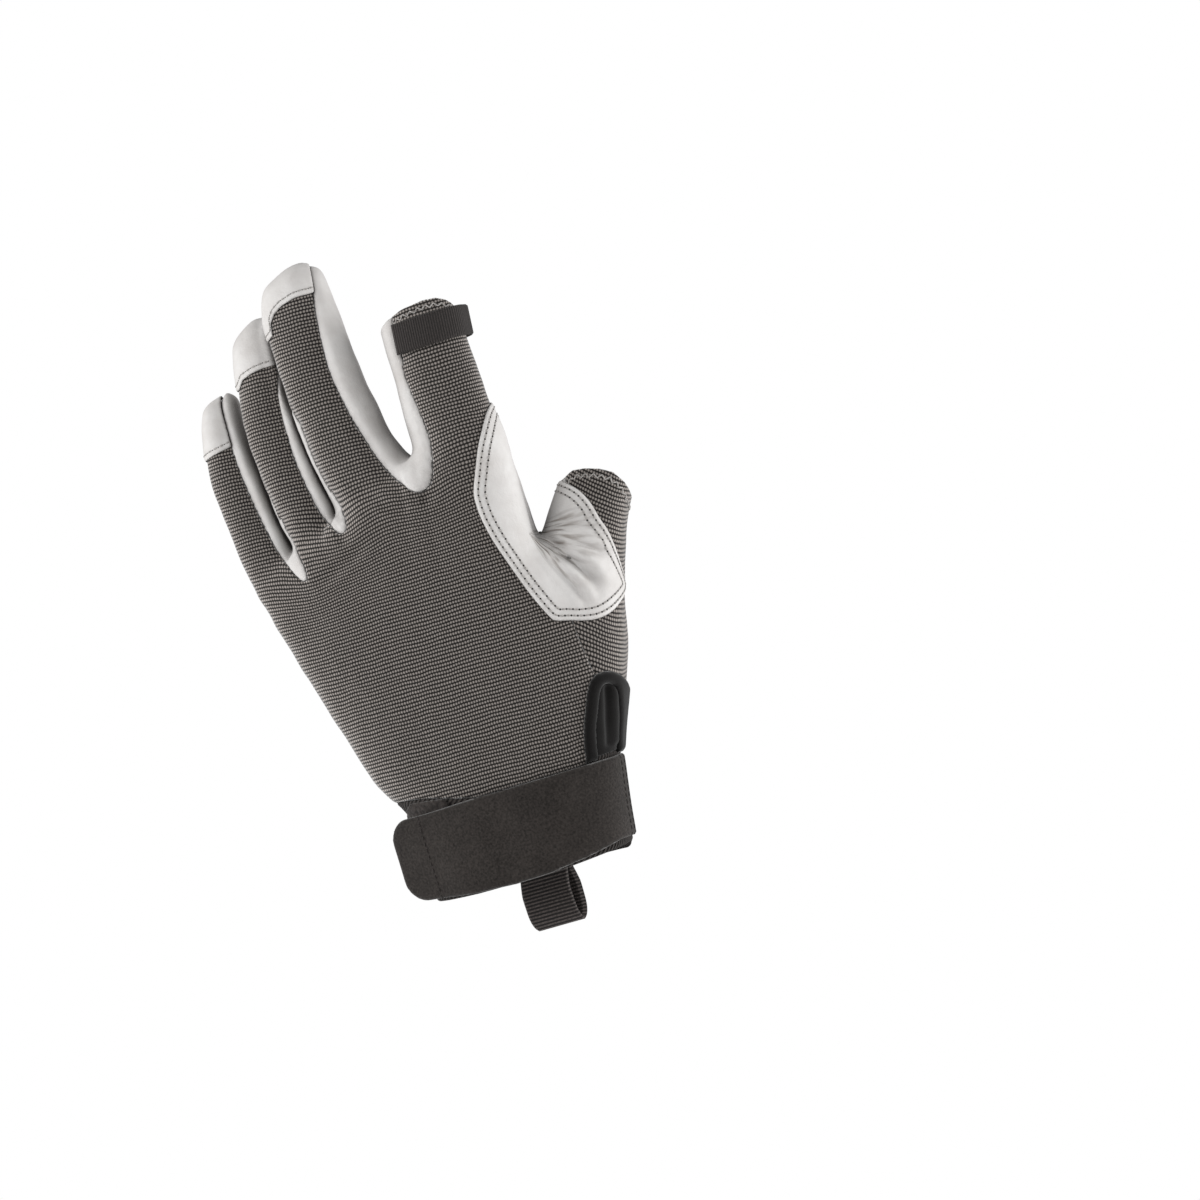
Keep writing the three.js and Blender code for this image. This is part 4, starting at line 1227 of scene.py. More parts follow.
@dataclass
class Panels:
    """The sewn panels that are cut from the hand form: back, thumb, palm, strips, caps and patch."""

    form: HandForm
    sewing: Sewing
    finishes: Finishes
    cap_lift: float = 0.9
    patch_lift: float = 1.1
    patch_wall: float = 1.2
    patch_roll: float = 1.3
    patch_rows: tuple[float, float] = (1.7, 4.1)  # rows of stitches, in from the edge
    patch_crotch: tuple[float, float] = (35.0, 120.0)  # where its wrinkles spread from, in the view
    cap_wall: float = 1.0
    cap_roll: float = 1.2
    cap_row: float = 1.9  # its row of stitches, up from the edge
    rim_row: float = 2.9  # seam below an open digit's rim

    def build(self) -> Array:
        """Cuts every panel and hands it to the scene.

        Returns:
            Signed distance inside the cuff.
        """
        base = self.form.surface
        v = base.values
        self._weave_places()
        plane = np.column_stack([v["view"], v["z"]])
        front = np.column_stack([v["x"], v["z"]])
        back = smoothstep(-0.5, -0.05, v["facing"])
        hem = back * (v["z"] - np.interp(v["view"], *zip(*BACK_HEM)))
        hem = hem + (1 - back) * (v["z"] - np.interp(v["x"], *zip(*PALM_HEM)))
        slit = polygon_distance(plane, rounded(VENT_LINE + ((39, 20),), 1))
        vent = np.where(v["facing"] > -0.1, slit, -20.0)
        rim = v["rim"] = self._rims(plane)
        panels = np.minimum(np.minimum(hem, -vent), rim)
        thumb = back * line_side(plane, THUMB_SEAM_BACK) + (1 - back) * line_side(front, THUMB_SEAM_PALM)
        cloth, palm = self._cloth(plane), self._palm()
        self.form.press(CREASES, cloth, palm)
        strips = -np.maximum(cloth, palm)
        off_thumb = np.minimum(panels, -thumb)
        caps = {name: self._cap(name, plane) for name in CAP_EDGES}
        under_caps = np.max(np.stack(list(caps.values())), axis=0) - 3.0
        finish = self.finishes
        back_cloth = np.minimum(np.minimum(off_thumb, cloth), -under_caps)
        self._panel("back_panel", back_cloth, finish.woven, "woven")
        self._panel("thumb_panel", np.minimum(panels, thumb), finish.woven, "woven")
        self._panel("palm_panel", np.minimum(off_thumb, palm), finish.leather, "leather")
        self._strips(np.minimum(off_thumb, strips))
        for name, inside in caps.items():
            self._cap_piece(name, np.minimum(np.minimum(inside, cloth + 0.6), panels))
        foot = back * np.interp(v["view"], *zip(*CUFF_FOOT))
        patch = back * polygon_distance(plane, rounded(PATCH_BACK, 2))
        patch = patch + (1 - back) * polygon_distance(front, rounded(PATCH_PALM, 2))
        self._patch(np.minimum(patch, rim - 0.4))
        return np.minimum(-np.minimum(hem, -vent), v["z"] - foot)

    def _weave_places(self) -> None:
        """Stores where every point lies in the flat cloth, in mm: across and along the threads."""
        v = self.form.surface.values
        across = v["x"].copy()
        for name in reversed(FINGERS):
            arc = self.form.centre(name, 0) + v[f"size_{name}"] * np.radians(90 - v[f"turn_{name}"])
            here = self.form.mostly(name) * smoothstep(132, 160, v["z"])
            across = across * (1 - here) + arc * here
        thumb = self.form.limbs["thumb"]
        _, size = thumb.place_of(self.form.surface.points)
        lean = math.radians(42)  # of the threads round the thumb
        rows = v["z"].copy()
        for x, z, pull in WEB_PULLS:
            away = np.hypot(v["view"] - x, 0.8 * (v["z"] - z))
            rows += pull * np.exp(-0.5 * (away / 8.5) ** 2) * smoothstep(-0.2, 0.2, v["facing"])
        v["u"], v["v"] = self.form.surface.spread(across, 14), rows
        p = self.form.surface.points
        v["thumb_u"] = size * np.radians(90 - v["turn_thumb"])
        v["thumb_v"] = (p[:, 0] - 40) * math.sin(lean) + p[:, 2] * math.cos(lean)

    def _rims(self, plane: Array) -> Array:
        """Signed distance below the tops of the open index finger and thumb."""
        v = self.form.surface.values
        index = np.interp(v["view"], *zip(*INDEX_RIM)) - v["z"]
        palm = smoothstep(-6.0, 12.0, v["y"] - 5.0) * 5.5
        out = np.full(len(plane), 40.0)
        near = self.form.mostly("index") & (v["z"] > 170)
        out[near] = (index - palm)[near]
        near = self.form.mostly("thumb") & (v["z"] > 95)
        out[near] = polygon_distance(plane, ((0, 60), (0, 133)) + THUMB_RIM + ((90, 60),))[near]
        return out

    def _cloth(self, plane: Array) -> Array:
        """Signed distance inside the woven back."""
        v = self.form.surface.values
        inside = polygon_distance(plane, self._cloth_outline(None))
        for name in CLOTH_DOWN:
            own = polygon_distance(plane, self._cloth_outline(name))
            inside = inside + v[f"in_{name}"] * (own - inside)
        side = self._seam_depth() - v["y"]
        for name, rise in CLOTH_DEPTH.items():
            own = self.form.centre(name, 1) + self.form.at_height(rise) - v["y"]
            side = side + v[f"in_{name}"] * (own - side)
        return np.minimum(inside, side)

    def _seam_depth(self) -> Array:
        """Depth of the side seam on each point's side of the glove."""
        at = self.form.at_height
        return np.where(self.form.surface.values["x"] < 0, at(LITTLE_SIDE), at(INDEX_SIDE))

    @staticmethod
    def _cloth_outline(own: str | None) -> list[tuple[float, float]]:
        """The outline of the woven back, with a finger's side as its own points see it.

        Args:
            own: The finger, or nothing.

        Returns:
            Corners of the outline.
        """
        line, foot = [(-100, 215)], []
        if own:
            line = [(-100, CLOTH_DOWN[own][0][1]), *CLOTH_DOWN[own], (100, CLOTH_DOWN[own][-1][1])]
            if own in CLOTH_UP:
                web = [*CLOTH_DOWN[FINGERS[FINGERS.index(own) - 1]][-2:], *CLOTH_UP[own][:3]]
                foot = [(-100, web[0][1]), *web, (-100, web[-1][1] + 1)]
        else:
            for down, up in zip(CLOTH_DOWN.values(), CLOTH_UP.values()):
                line += [*down, *up]
        return rounded(line + [(100, -30), (-100, -30)] + foot, 1)

    def _palm(self) -> Array:
        """Signed distance inside the leather palm with the fronts of the fingers."""
        v = self.form.surface.values
        half = v["y"] - self._seam_depth()
        crotch = np.interp(v["x"], *zip(*CROTCHES))
        web = smoothstep(4.0, -12.0, v["z"] - crotch) * 14.0
        for name, low, high in FRONTS:
            turn = np.mod(v[f"turn_{name}"] + 90, 360) - 90
            turn = np.where(turn < 60, turn + 360, turn)
            arc = np.minimum(turn - low, high - turn) * v[f"size_{name}"] * math.pi / 180 + web
            own = arc if name in ("middle", "ring") else np.minimum(arc, half)
            half = half + v[f"in_{name}"] * (own - half)
        return half

    def _cap(self, name: str, plane: Array) -> Array:
        """Signed distance above the lower edge of a tip's cap."""
        v = self.form.surface.values
        above = plane[:, 1] - np.interp(plane[:, 0], *zip(*CAP_EDGES[name]))
        return np.where(self.form.mostly(name) & (v["facing"] > -0.7), above, -30.0)

    def _panel(self, name: str, inside: Array, material: Material, slot: str) -> None:
        """Cuts one panel and hands it to the scene.

        Args:
            name: Name of the piece, which is its CAD node's name with "_sewn".
            inside: Signed distance inside it.
            material: Its finish.
            slot: The record's slot.
        """
        panel = self.sewing.sheet(self.form.surface, inside)
        if name == "thumb_panel":
            panel.values["u"], panel.values["v"] = panel.values["thumb_u"], panel.values["thumb_v"]
        place(self.sewing.closed(panel), f"{name}_sewn", material, slot, name)
        if slot == "woven":
            lines = [line for line in panel.contours(panel.values["rim"], self.rim_row) if len(line) > 8]
            self.sewing.zigzag(f"{name}_rim_stitches", lines, self.finishes.thread, slot, name)

    def _strips(self, inside: Array) -> None:
        """Cuts the three leather strips between the fingers.

        Args:
            inside: Signed distance inside all strips together.
        """
        base = self.form.surface
        x = base.values["x"]
        for low, high in zip(FINGERS, FINGERS[1:]):
            name = f"strip_{high}_{low}"
            between = np.minimum(x - self.form.centre(low, 0), self.form.centre(high, 0) - x)
            part = self.sewing.sheet(base, np.minimum(inside, between), single=False)
            place(self.sewing.closed(part), f"{name}_sewn", self.finishes.leather, "leather", name)

    def _cap_piece(self, name: str, inside: Array) -> None:
        """Makes a fingertip cap that lies over the cloth, with its rows of stitches.

        Args:
            name: Finger.
            inside: Signed distance inside it.
        """
        sewing, finish, node = self.sewing, self.finishes, f"cap_{name}"
        cap = sewing.sheet(self.form.surface, inside, self.cap_lift, self.cap_wall, self.cap_roll)
        place(sewing.closed(cap, self.cap_wall), f"{node}_sewn", finish.leather, "leather", node)
        above = cap.values["z"] - np.interp(cap.values["view"], *zip(*CAP_EDGES[name]))
        lines = [line for line in cap.contours(above, self.cap_row) if len(line) > 6]
        sewing.stitches(f"{node}_stitches", lines, finish.thread, "leather", node)
        sewing.holes(f"{node}_holes", lines, finish.dark_thread_and_hole_shade, "leather", node, 0.24)

    def _patch(self, inside: Array) -> None:
        """Makes the patch over the crotch of the thumb, with its two rows of stitches.

        Args:
            inside: Signed distance inside it.
        """
        sewing, finish, node = self.sewing, self.finishes, "thumb_patch"
        patch = sewing.sheet(self.form.surface, inside, self.patch_lift, self.patch_wall, self.patch_roll)
        side = patch.values["view"] - self.patch_crotch[0]
        up = patch.values["z"] - self.patch_crotch[1]
        turn = 18.0 * np.arctan2(up, side)
        sector = smoothstep(-28.0, -20.0, turn) * smoothstep(9.0, 1.0, turn)
        patch.values["u"], patch.values["v"] = turn, np.hypot(side, up) + 40.0 * (1 - sector)
        place(sewing.closed(patch, self.patch_wall), "thumb_patch_sewn", finish.creased, "leather", node)
        lines = []
        for level in self.patch_rows:
            lines += [line for line in patch.contours(patch.values["edge"], level) if len(line) > 12]
        sewing.stitches("thumb_patch_stitches", lines, finish.thread, "leather", node)
        sewing.holes("thumb_patch_holes", lines, finish.dark_thread_and_hole_shade, "leather", node)


def band(path: Path, length: float, low: float, high: float, step: float) -> Surface:
    """A flat grid of cloth laid along a path, with its place in the flat as "u" and "v".

    Args:
        path: Gives points, outward normals and rise directions at distances along the band.
        length: Length of the band in mm.
        low: Lower edge in mm.
        high: Upper edge in mm.
        step: Size of a cell in mm.

    Returns:
        The open sheet.
    """
    across = np.linspace(0, length, max(4, int(length / step)))
    up = np.linspace(low, high, max(4, int((high - low) / step)))
    points, normals, rise = path(across)
    grid = points[:, None, :] + rise[:, None, :] * up[None, :, None]
    index = np.arange(len(across) * len(up)).reshape(len(across), len(up))
    a, b, c, d = index[:-1, :-1], index[1:, :-1], index[1:, 1:], index[:-1, 1:]
    faces = np.vstack([np.stack([a, b, c], -1).reshape(-1, 3), np.stack([a, c, d], -1).reshape(-1, 3)])
    u, v = np.meshgrid(across, up, indexing="ij")
    sheet = Surface(grid.reshape(-1, 3), faces, {"u": u.ravel(), "v": v.ravel()})
    facing = np.einsum("ij,ij->", sheet.normals().reshape(len(across), len(up), 3)[:, 1], normals)
    if facing < 0:
        sheet.faces = sheet.faces[:, ::-1]
    return sheet


def along(knots: Line | Array) -> Callable[[Array], tuple[Array, Array]]:
    """A smooth plane curve through knots, read by distance.

    Args:
        knots: Points of shape (n, 2).

    Returns:
        A function from distances to points and unit tangents; its attribute length is the whole length.
    """
    fine = finer(knots, 24)
    steps = walked(fine)

    def read(at: Array) -> tuple[Array, Array]:
        """Point and tangent at each distance."""
        ahead = read_at(np.minimum(at + 0.4, steps[-1]), steps, fine)
        turn = ahead - read_at(np.maximum(at - 0.4, 0), steps, fine)
        return read_at(at, steps, fine), turn / np.linalg.norm(turn, axis=1, keepdims=True)

    read.length = float(steps[-1])
    return read


def wrist_ring(offset: float, start: float, end: float, count: int = 40) -> Array:
    """Points round the wrist at some distance from it, by angle from the thumb side over the back.

    Args:
        offset: Distance from the form.
        start: First angle in degrees.
        end: Last angle in degrees.
        count: Number of points.

    Returns:
        Points (x, y).
    """
    turn = np.radians(np.linspace(start, end, count))
    wide, deep = (half + offset for half in WRIST_HALVES)
    x, y = wide * bent(np.cos(turn), WRIST_POWER), -deep * bent(np.sin(turn), WRIST_POWER)
    return np.column_stack([WRIST_MIDDLE + x, y])


@dataclass
class Cuff:
    """The elastic cuff with its hook pad, the closing strap, the bound vent and the pull loop.

    Its value "inside" is the signed distance inside the cuff at the points of the form.
    """

    form: HandForm
    inside: Array
    sewing: Sewing
    finishes: Finishes
    band_wall: float = 2.0
    gusset_wall: float = 1.6
    strap_wall: float = 2.0
    strap_foot: float = 1.8
    strap_corner: float = 8.0
    free_end: float = -42.0
    pad_wall: float = 1.0
    webbing_width: float = 19.0
    webbing_wall: float = 1.4
    drop: float = 21.5
    twist: float = 0.55  # how far the far ply of the loop swings to the thumb side, per mm between the plies

    def build(self) -> None:
        """Builds every piece of the cuff."""
        self._band()
        self._binding()
        self._pad()
        self._strap()
        self._loop()

    def _band(self) -> None:
        """The ribbed elastic band, which also fills the vent."""
        base = self.form.surface
        v = base.values
        gusset = np.where((v["facing"] > -0.1) & (v["view"] > 20), v["z"] - 36.0, -9.0)
        cuff = self.sewing.sheet(base, np.minimum(self.inside, -gusset), wall=self.band_wall, roll=1.2)
        v = cuff.values
        turn = np.arctan2(-v["y"] / WRIST_HALVES[1], (v["x"] - WRIST_MIDDLE) / WRIST_HALVES[0])
        v["u"], v["v"] = turn * 33.0, v["z"]
        closed = self.sewing.closed(cuff, self.band_wall)
        place(closed, "cuff_band_knit", self.finishes.elastic, "elastic", "cuff_band")
        filled = np.minimum(self.inside, gusset + 0.3)
        fold = self.sewing.sheet(base, filled, wall=self.gusset_wall, roll=0.5)
        across = fold.values["view"] - np.interp(fold.values["z"], (34, 48, 60), (41.5, 45, 48))
        swell = 0.9 * np.exp(-(((across - 1.6) / 1.5) ** 2)) - 1.1 * np.exp(-(((across + 1.2) / 1.3) ** 2))
        swell *= smoothstep(1.5, 4.0, fold.values["edge"])
        fold.points = fold.points + fold.normals() * swell[:, None]
        closed = self.sewing.closed(fold, self.gusset_wall)
        place(closed, "cuff_band_gusset", self.finishes.binding, "elastic", "cuff_band")

    def _binding(self) -> None:
        """The dark tape that binds the slit beside the thumb."""
        base = self.form.surface
        v = base.values
        plane = np.column_stack([v["view"], v["z"]])
        line = rounded(VENT_LINE, 1, closed=False)
        across = np.abs(line_side(plane, line))
        inside = np.where((v["facing"] > -0.2) & (v["z"] > 34.5), 2.3 - across, -5.0)
        tape = base.clipped(np.minimum(inside, v["z"] - 34.5)).largest()
        crown = np.sqrt(np.clip(1 - (np.clip(tape.edge_distance(2.3), 0, 2.3) / 2.3 - 1) ** 2, 0, 1))
        tape.points = tape.points + tape.normals() * (-0.2 + 2.0 * crown)[:, None]
        tape.values["u"], tape.values["v"] = tape.values["view"], tape.values["z"]
        place(tape.thickened(1.0), "vent_binding_tape", self.finishes.binding, "elastic", "vent_binding")

    def _pad(self) -> None:
        """The hook-and-loop pad that looks out above the strap."""
        base = self.form.surface
        v = base.values
        plane = np.column_stack([v["x"], v["z"]])
        outline = rounded(((-36.5, 4.5), (-14, 4.5), (-14, 36.8), (-22, 38.2), (-36.5, 39.5)), 2)
        inside = np.where(v["facing"] > 0.0, polygon_distance(plane, outline), -9.0)
        pad = self.sewing.sheet(base, inside, lift=1.4, wall=self.pad_wall, roll=0.8)
        pad.values["u"], pad.values["v"] = pad.values["x"], pad.values["z"]
        closed = self.sewing.closed(pad, self.pad_wall)
        place(closed, "loop_pad_pile", self.finishes.pile, "brushed", "loop_pad")

    def _strap(self) -> None:
        """The closing strap, from its sewn end on the thumb side to its free end."""
        foot = self.strap_foot + 0.5 * self.strap_wall
        ring = wrist_ring(foot, 2, 122)
        slope = (ring[-1] - ring[-2]) / abs(ring[-1, 0] - ring[-2, 0])
        tail = [ring[-1] + slope * abs(self.free_end - ring[-1, 0]) * t for t in (0.25, 0.5, 0.75, 1.0)]
        curve = along(np.vstack([ring, tail]))
        length = curve.length

        def path(at: Array) -> tuple[Array, Array, Array]:
            """Middle line of the strap, its normals and the upward direction."""
            spots, turn = curve(at)
            zero = np.zeros(len(at))
            normal = np.column_stack([-turn[:, 1], turn[:, 0], zero])
            points = np.column_stack([spots, zero])
            flip = np.sign(np.einsum("ij,ij->i", points - (WRIST_MIDDLE, 0.0, 0.0), normal))
            taper = 0.15 * np.clip((points[:, 0] - WRIST_MIDDLE) / 42, 0, 1)
            points[:, 0] -= taper * 34
            return points, normal * flip[:, None], np.column_stack([taper, zero, zero + 1])

        sheet = band(path, length, -2.0, 38.0, 0.7)
        s, z = sheet.values["u"], sheet.values["v"]
        left = length - s
        bottom, top = np.interp(left, *zip(*STRAP_BOTTOM)), np.interp(left, *zip(*STRAP_TOP))
        middle, half = 0.5 * (top + bottom), 0.5 * (top - bottom)
        over = np.abs(z - middle) - (half - self.strap_corner)
        inner = np.column_stack([np.maximum(self.strap_corner - left, 0), np.maximum(over, 0)])
        round_end = self.strap_corner - np.linalg.norm(inner, axis=1)
        inside = np.minimum(np.minimum(half - np.abs(z - middle), left), round_end)
        sheet.values["left"] = left
        strap = self.sewing.sheet(sheet, np.minimum(inside, s), 0.5 * self.strap_wall, self.strap_wall, 1.3)
        wave = 0.35 * noise3(strap.points, 16.0, 5.5)
        strap.points = strap.points + strap.normals() * wave[:, None]
        closed = self.sewing.closed(strap, self.strap_wall)
        place(closed, "closure_strap_brushed", self.finishes.brushed, "brushed", "closure_strap")
        lines = []
        for name, level in (("u", 2.2), ("u", 4.6), ("left", 14.0)):
            lines += strap.contours(strap.values[name], level)[:1]
        thread = self.finishes.dark_thread_and_hole_shade
        self.sewing.stitches("closure_strap_stitches", lines, thread, "brushed", "closure_strap", 0.05)

    def _loop(self) -> None:
        """The doubled webbing loop that hangs from the palm side."""
        outside = WRIST_HALVES[1] + 0.3 + 0.5 * self.webbing_wall
        inside = 17.2 - 0.3 - 0.5 * self.webbing_wall
        middle, swell = 0.5 * (outside + inside), 0.5 * max(3.2, outside - inside)
        curve = along([
            (outside, 27.5), (outside, 14), (outside, 1), (middle + swell, -0.45 * self.drop),
            (middle + 0.8 * swell, -0.8 * self.drop), (middle, -self.drop + 0.7),
            (middle - 0.8 * swell, -0.8 * self.drop), (middle - swell, -0.45 * self.drop), (inside, 1),
            (inside, 13.5),
        ])

        def path(at: Array) -> tuple[Array, Array, Array]:
            """Middle line of the webbing, its normals and the direction across it."""
            spots, turn = curve(at)
            zero = np.zeros(len(at))
            points = np.column_stack([zero, spots])
            normal = np.column_stack([zero, -turn[:, 1], turn[:, 0]])
            return points, normal, np.tile([1.0, 0.0, 0.0], (len(at), 1))

        half = 0.5 * self.webbing_width
        sheet = band(path, curve.length, -half, half, 0.7)
        hang = smoothstep(2.0, -9.0, sheet.points[:, 2])
        sheet.points[:, 0] += self.twist * hang * (sheet.points[:, 1] - middle)
        v = sheet.values
        edge = np.minimum(half - np.abs(v["v"]), np.minimum(v["u"], curve.length - v["u"]))
        wall = self.webbing_wall
        loop = self.sewing.sheet(sheet, edge + 0.3, 0.5 * wall, wall, 0.7)
        closed = self.sewing.closed(loop, wall)
        place(closed, "pull_loop_webbing", self.finishes.webbing, "webbing", "pull_loop")


@dataclass
class IndexTab:
    """The strip round the back of the open index finger, which stands off it on the thumb side."""

    form: HandForm
    sewing: Sewing
    finishes: Finishes
    height: float = 12.0
    wall: float = 1.2
    stand: float = 2.0
    facing: float = -50.0
    middle_height: float = 201.6

    def build(self) -> None:
        """Builds the strip."""
        limb = self.form.limbs["index"]
        row = int(np.argmin(np.abs(limb.centres[:, 2] - 202)))
        centre = limb.centres[row]
        turns = np.linspace(-100, 119, 60)
        near = np.cos(np.radians(np.minimum(90, np.abs(turns - self.facing) * 2)))
        foot = 1.2 + self.stand * near
        rad = np.radians(turns)
        wide = (limb.wide[row] + foot) * bent(np.cos(rad), FINGER_POWER)
        deep = (limb.deep[row] + foot) * bent(np.sin(rad), FINGER_POWER)
        curve = along(np.column_stack([centre[0] + wide, centre[1] - deep]))
        lean = np.array([0.0, 0.3, 1.0])
        lean /= np.linalg.norm(lean)

        def path(at: Array) -> tuple[Array, Array, Array]:
            """Middle line of the strip, its normals and the upward direction."""
            spots, turn = curve(at)
            points = np.column_stack([spots, np.full(len(at), self.middle_height)])
            normal = np.column_stack([-turn[:, 1], turn[:, 0], np.zeros(len(at))])
            flip = np.sign(np.einsum("ij,ij->i", points - centre, normal))
            return points, normal * flip[:, None], np.tile(lean, (len(at), 1))

        sheet = band(path, curve.length, -0.5 * self.height, 0.5 * self.height, 0.6)
        v = sheet.values
        edge = np.minimum(0.5 * self.height - np.abs(v["v"]), np.minimum(v["u"], curve.length - v["u"]))
        strip = self.sewing.sheet(sheet, edge + 0.2, 0.5 * self.wall, self.wall, 0.8)
        closed = self.sewing.closed(strip, self.wall)
        place(closed, "index_tab_strip", self.finishes.tape, "elastic", "index_tab")


# Finishes


def linear(colour: str) -> tuple[float, float, float, float]:
    """Turns an sRGB hex colour into the linear one that Blender's nodes take.

    Args:
        colour: Six hex digits.

    Returns:
        Red, green, blue and alpha.
    """
    parts = [int(colour.lstrip("#")[i:i + 2], 16) / 255 for i in (0, 2, 4)]
    return tuple(c / 12.92 if c <= 0.04045 else ((c + 0.055) / 1.055) ** 2.4 for c in parts) + (1.0,)


def add(tree: bpy.types.NodeTree, kind: str, inputs: dict | None = None,
        **settings: object) -> bpy.types.Node:
    """Adds a node with its settings, its input values and its links.

    Args:
        tree: Node tree.
        kind: Blender's name of the node.
        inputs: Values or output sockets by input name or number.
        **settings: Properties of the node.

    Returns:
        The node.
    """
    node = tree.nodes.new(kind)
    for name, value in settings.items():
        setattr(node, name, value)
    for key, value in (inputs or {}).items():
        if isinstance(value, bpy.types.NodeSocket):
            tree.links.new(value, node.inputs[key])
        else:
            node.inputs[key].default_value = value
    return node


class Shading:
    """A material in the making, with its node tree and its shader."""

    def __init__(self, name: str, **surface: float) -> None:
        """Starts a material.

        Args:
            name: Name of the material.
            **surface: Values for the shader's own sockets, with underscores for spaces.
        """
        self.material = bpy.data.materials.new(name)
        self.material.use_nodes = True
        self.tree = self.material.node_tree
        self.tree.nodes.clear()
        values = {key.replace("_", " "): value for key, value in surface.items()}
        self.shader = self.add("ShaderNodeBsdfPrincipled", values)
        self.add("ShaderNodeOutputMaterial", {"Surface": self.shader.outputs["BSDF"]})

    def add(self, kind: str, inputs: dict | None = None, **settings: object) -> bpy.types.Node:
        """Adds a node to this tree, see add()."""
        return add(self.tree, kind, inputs, **settings)

    def calc(self, operation: str, *values: float | Socket) -> Socket:
        """Result of a calculation with one to three values."""
        return self.add("ShaderNodeMath", dict(enumerate(values)), operation=operation).outputs[0]

    def vector(self, operation: str, a: Socket, b: Socket | tuple[float, float, float]) -> Socket:
        """Result of a calculation with two vectors."""
        return self.add("ShaderNodeVectorMath", {0: a, 1: b}, operation=operation).outputs[0]

    def noise(self, at: Socket, scale: float, detail: float, **more: float) -> Socket:
        """Smooth noise from 0 to 1."""
        inputs = {"Vector": at, "Scale": scale, "Detail": detail, **more}
        return self.add("ShaderNodeTexNoise", inputs).outputs["Fac"]

    def weave(self) -> Socket:
        """Place in the flat cloth."""
        return self.add("ShaderNodeUVMap", uv_map="weave").outputs["UV"]

    def here(self) -> Socket:
        """Place on the object in metres."""
        return self.add("ShaderNodeTexCoord").outputs["Object"]

    def mapped(self, value: Socket, *ends: float) -> Socket:
        """A value from the first two numbers brought to the last two."""
        sides = zip(("From Min", "From Max", "To Min", "To Max"), ends)
        return self.add("ShaderNodeMapRange", {"Value": value, **dict(sides)}).outputs[0]

    def ramp(self, value: Socket, *stops: tuple[float, str]) -> Socket:
        """Colours a value by two stops.

        Args:
            value: Value from 0 to 1.
            *stops: Two places with their hex colours.

        Returns:
            The colour.
        """
        node = self.add("ShaderNodeValToRGB", {"Fac": value})
        for element, (spot, colour) in zip(node.color_ramp.elements, stops):
            element.position, element.color = spot, linear(colour)
        return node.outputs["Color"]

    def darkened(self, share: float | Socket, colour: Socket, by: Socket) -> Socket:
        """Multiplies a share of one colour by another."""
        inputs = {0: share, 6: colour, 7: by}
        return self.add("ShaderNodeMix", inputs, data_type="RGBA", blend_type="MULTIPLY").outputs[2]

    def done(self, colour: Socket, height: Socket | None = None, strength: float = 0.0,
             relief: float = 0.0) -> Material:
        """Gives the shader its colour and its relief.

        Args:
            colour: The colour.
            height: Height from 0 to 1, or nothing for a plain surface.
            strength: Strength of the relief.
            relief: Depth of the relief in metres.

        Returns:
            The material.
        """
        self.tree.links.new(colour, self.shader.inputs["Base Color"])
        if height is not None:
            bump = self.add("ShaderNodeBump", {"Strength": strength, "Distance": relief, "Height": height})
            self.tree.links.new(bump.outputs["Normal"], self.shader.inputs["Normal"])
        return self.material


@dataclass(frozen=True)
class WovenCloth:
    """Nylon cloth in a plain weave of thick threads: light weft dots over dark warp, a soft sheen and a
    painted sheen.
    """

    name: str
    ground: str = "#171412"
    thread: str = "#aca49e"
    rib: float = 1.35  # mm from weft to weft
    column: float = 1.05  # mm from warp to warp, drawn coarser than the real 0.9 so that it shows

    def build(self) -> Material:
        """The material."""
        make = Shading(self.name, Roughness=0.82, Specular_IOR_Level=0.25, Sheen_Weight=1.0,
                       Sheen_Roughness=0.35)
        uv = make.weave()
        wobble = make.add("ShaderNodeTexNoise", {"Scale": 9.0, "Detail": 2.0, "Vector": uv}).outputs["Color"]
        flat = make.vector("ADD", uv, make.vector("MULTIPLY", wobble, (0.006, 0.012, 0.0)))
        apart = make.add("ShaderNodeSeparateXYZ", {0: flat}).outputs
        row = make.calc("MULTIPLY", apart["Y"], WEAVE_UNIT / self.rib)
        stagger = make.calc("MULTIPLY", make.calc("MODULO", make.calc("FLOOR", row), 2.0), 0.22)
        column = make.calc("MULTIPLY_ADD", apart["X"], WEAVE_UNIT / self.column, stagger)
        angles = [make.calc("MULTIPLY", source, 2 * math.pi) for source in (row, column)]
        weft, warp = (make.calc("MULTIPLY_ADD", make.calc("COSINE", angle), -0.5, 0.5) for angle in angles)
        dots = make.calc("MULTIPLY", weft, make.calc("MULTIPLY_ADD", warp, 0.85, 0.15))
        strength = make.calc("MULTIPLY_ADD", make.noise(uv, 75.0, 2.0), 0.9, 0.5)
        colour = make.ramp(make.calc("MULTIPLY", dots, strength), (0.06, self.ground), (0.66, self.thread))
        # Painted sheen: the colour brightens where the cloth turns away from the view
        slant = make.add("ShaderNodeLayerWeight", {"Blend": 0.4}).outputs["Facing"]
        painted_sheen = make.mapped(slant, 0.1, 0.8, 0.86, 1.9)
        bright = make.add("ShaderNodeVectorMath", {0: colour, "Scale": painted_sheen}, operation="SCALE").outputs[0]
        return make.done(bright, dots, 0.5, 0.0004)


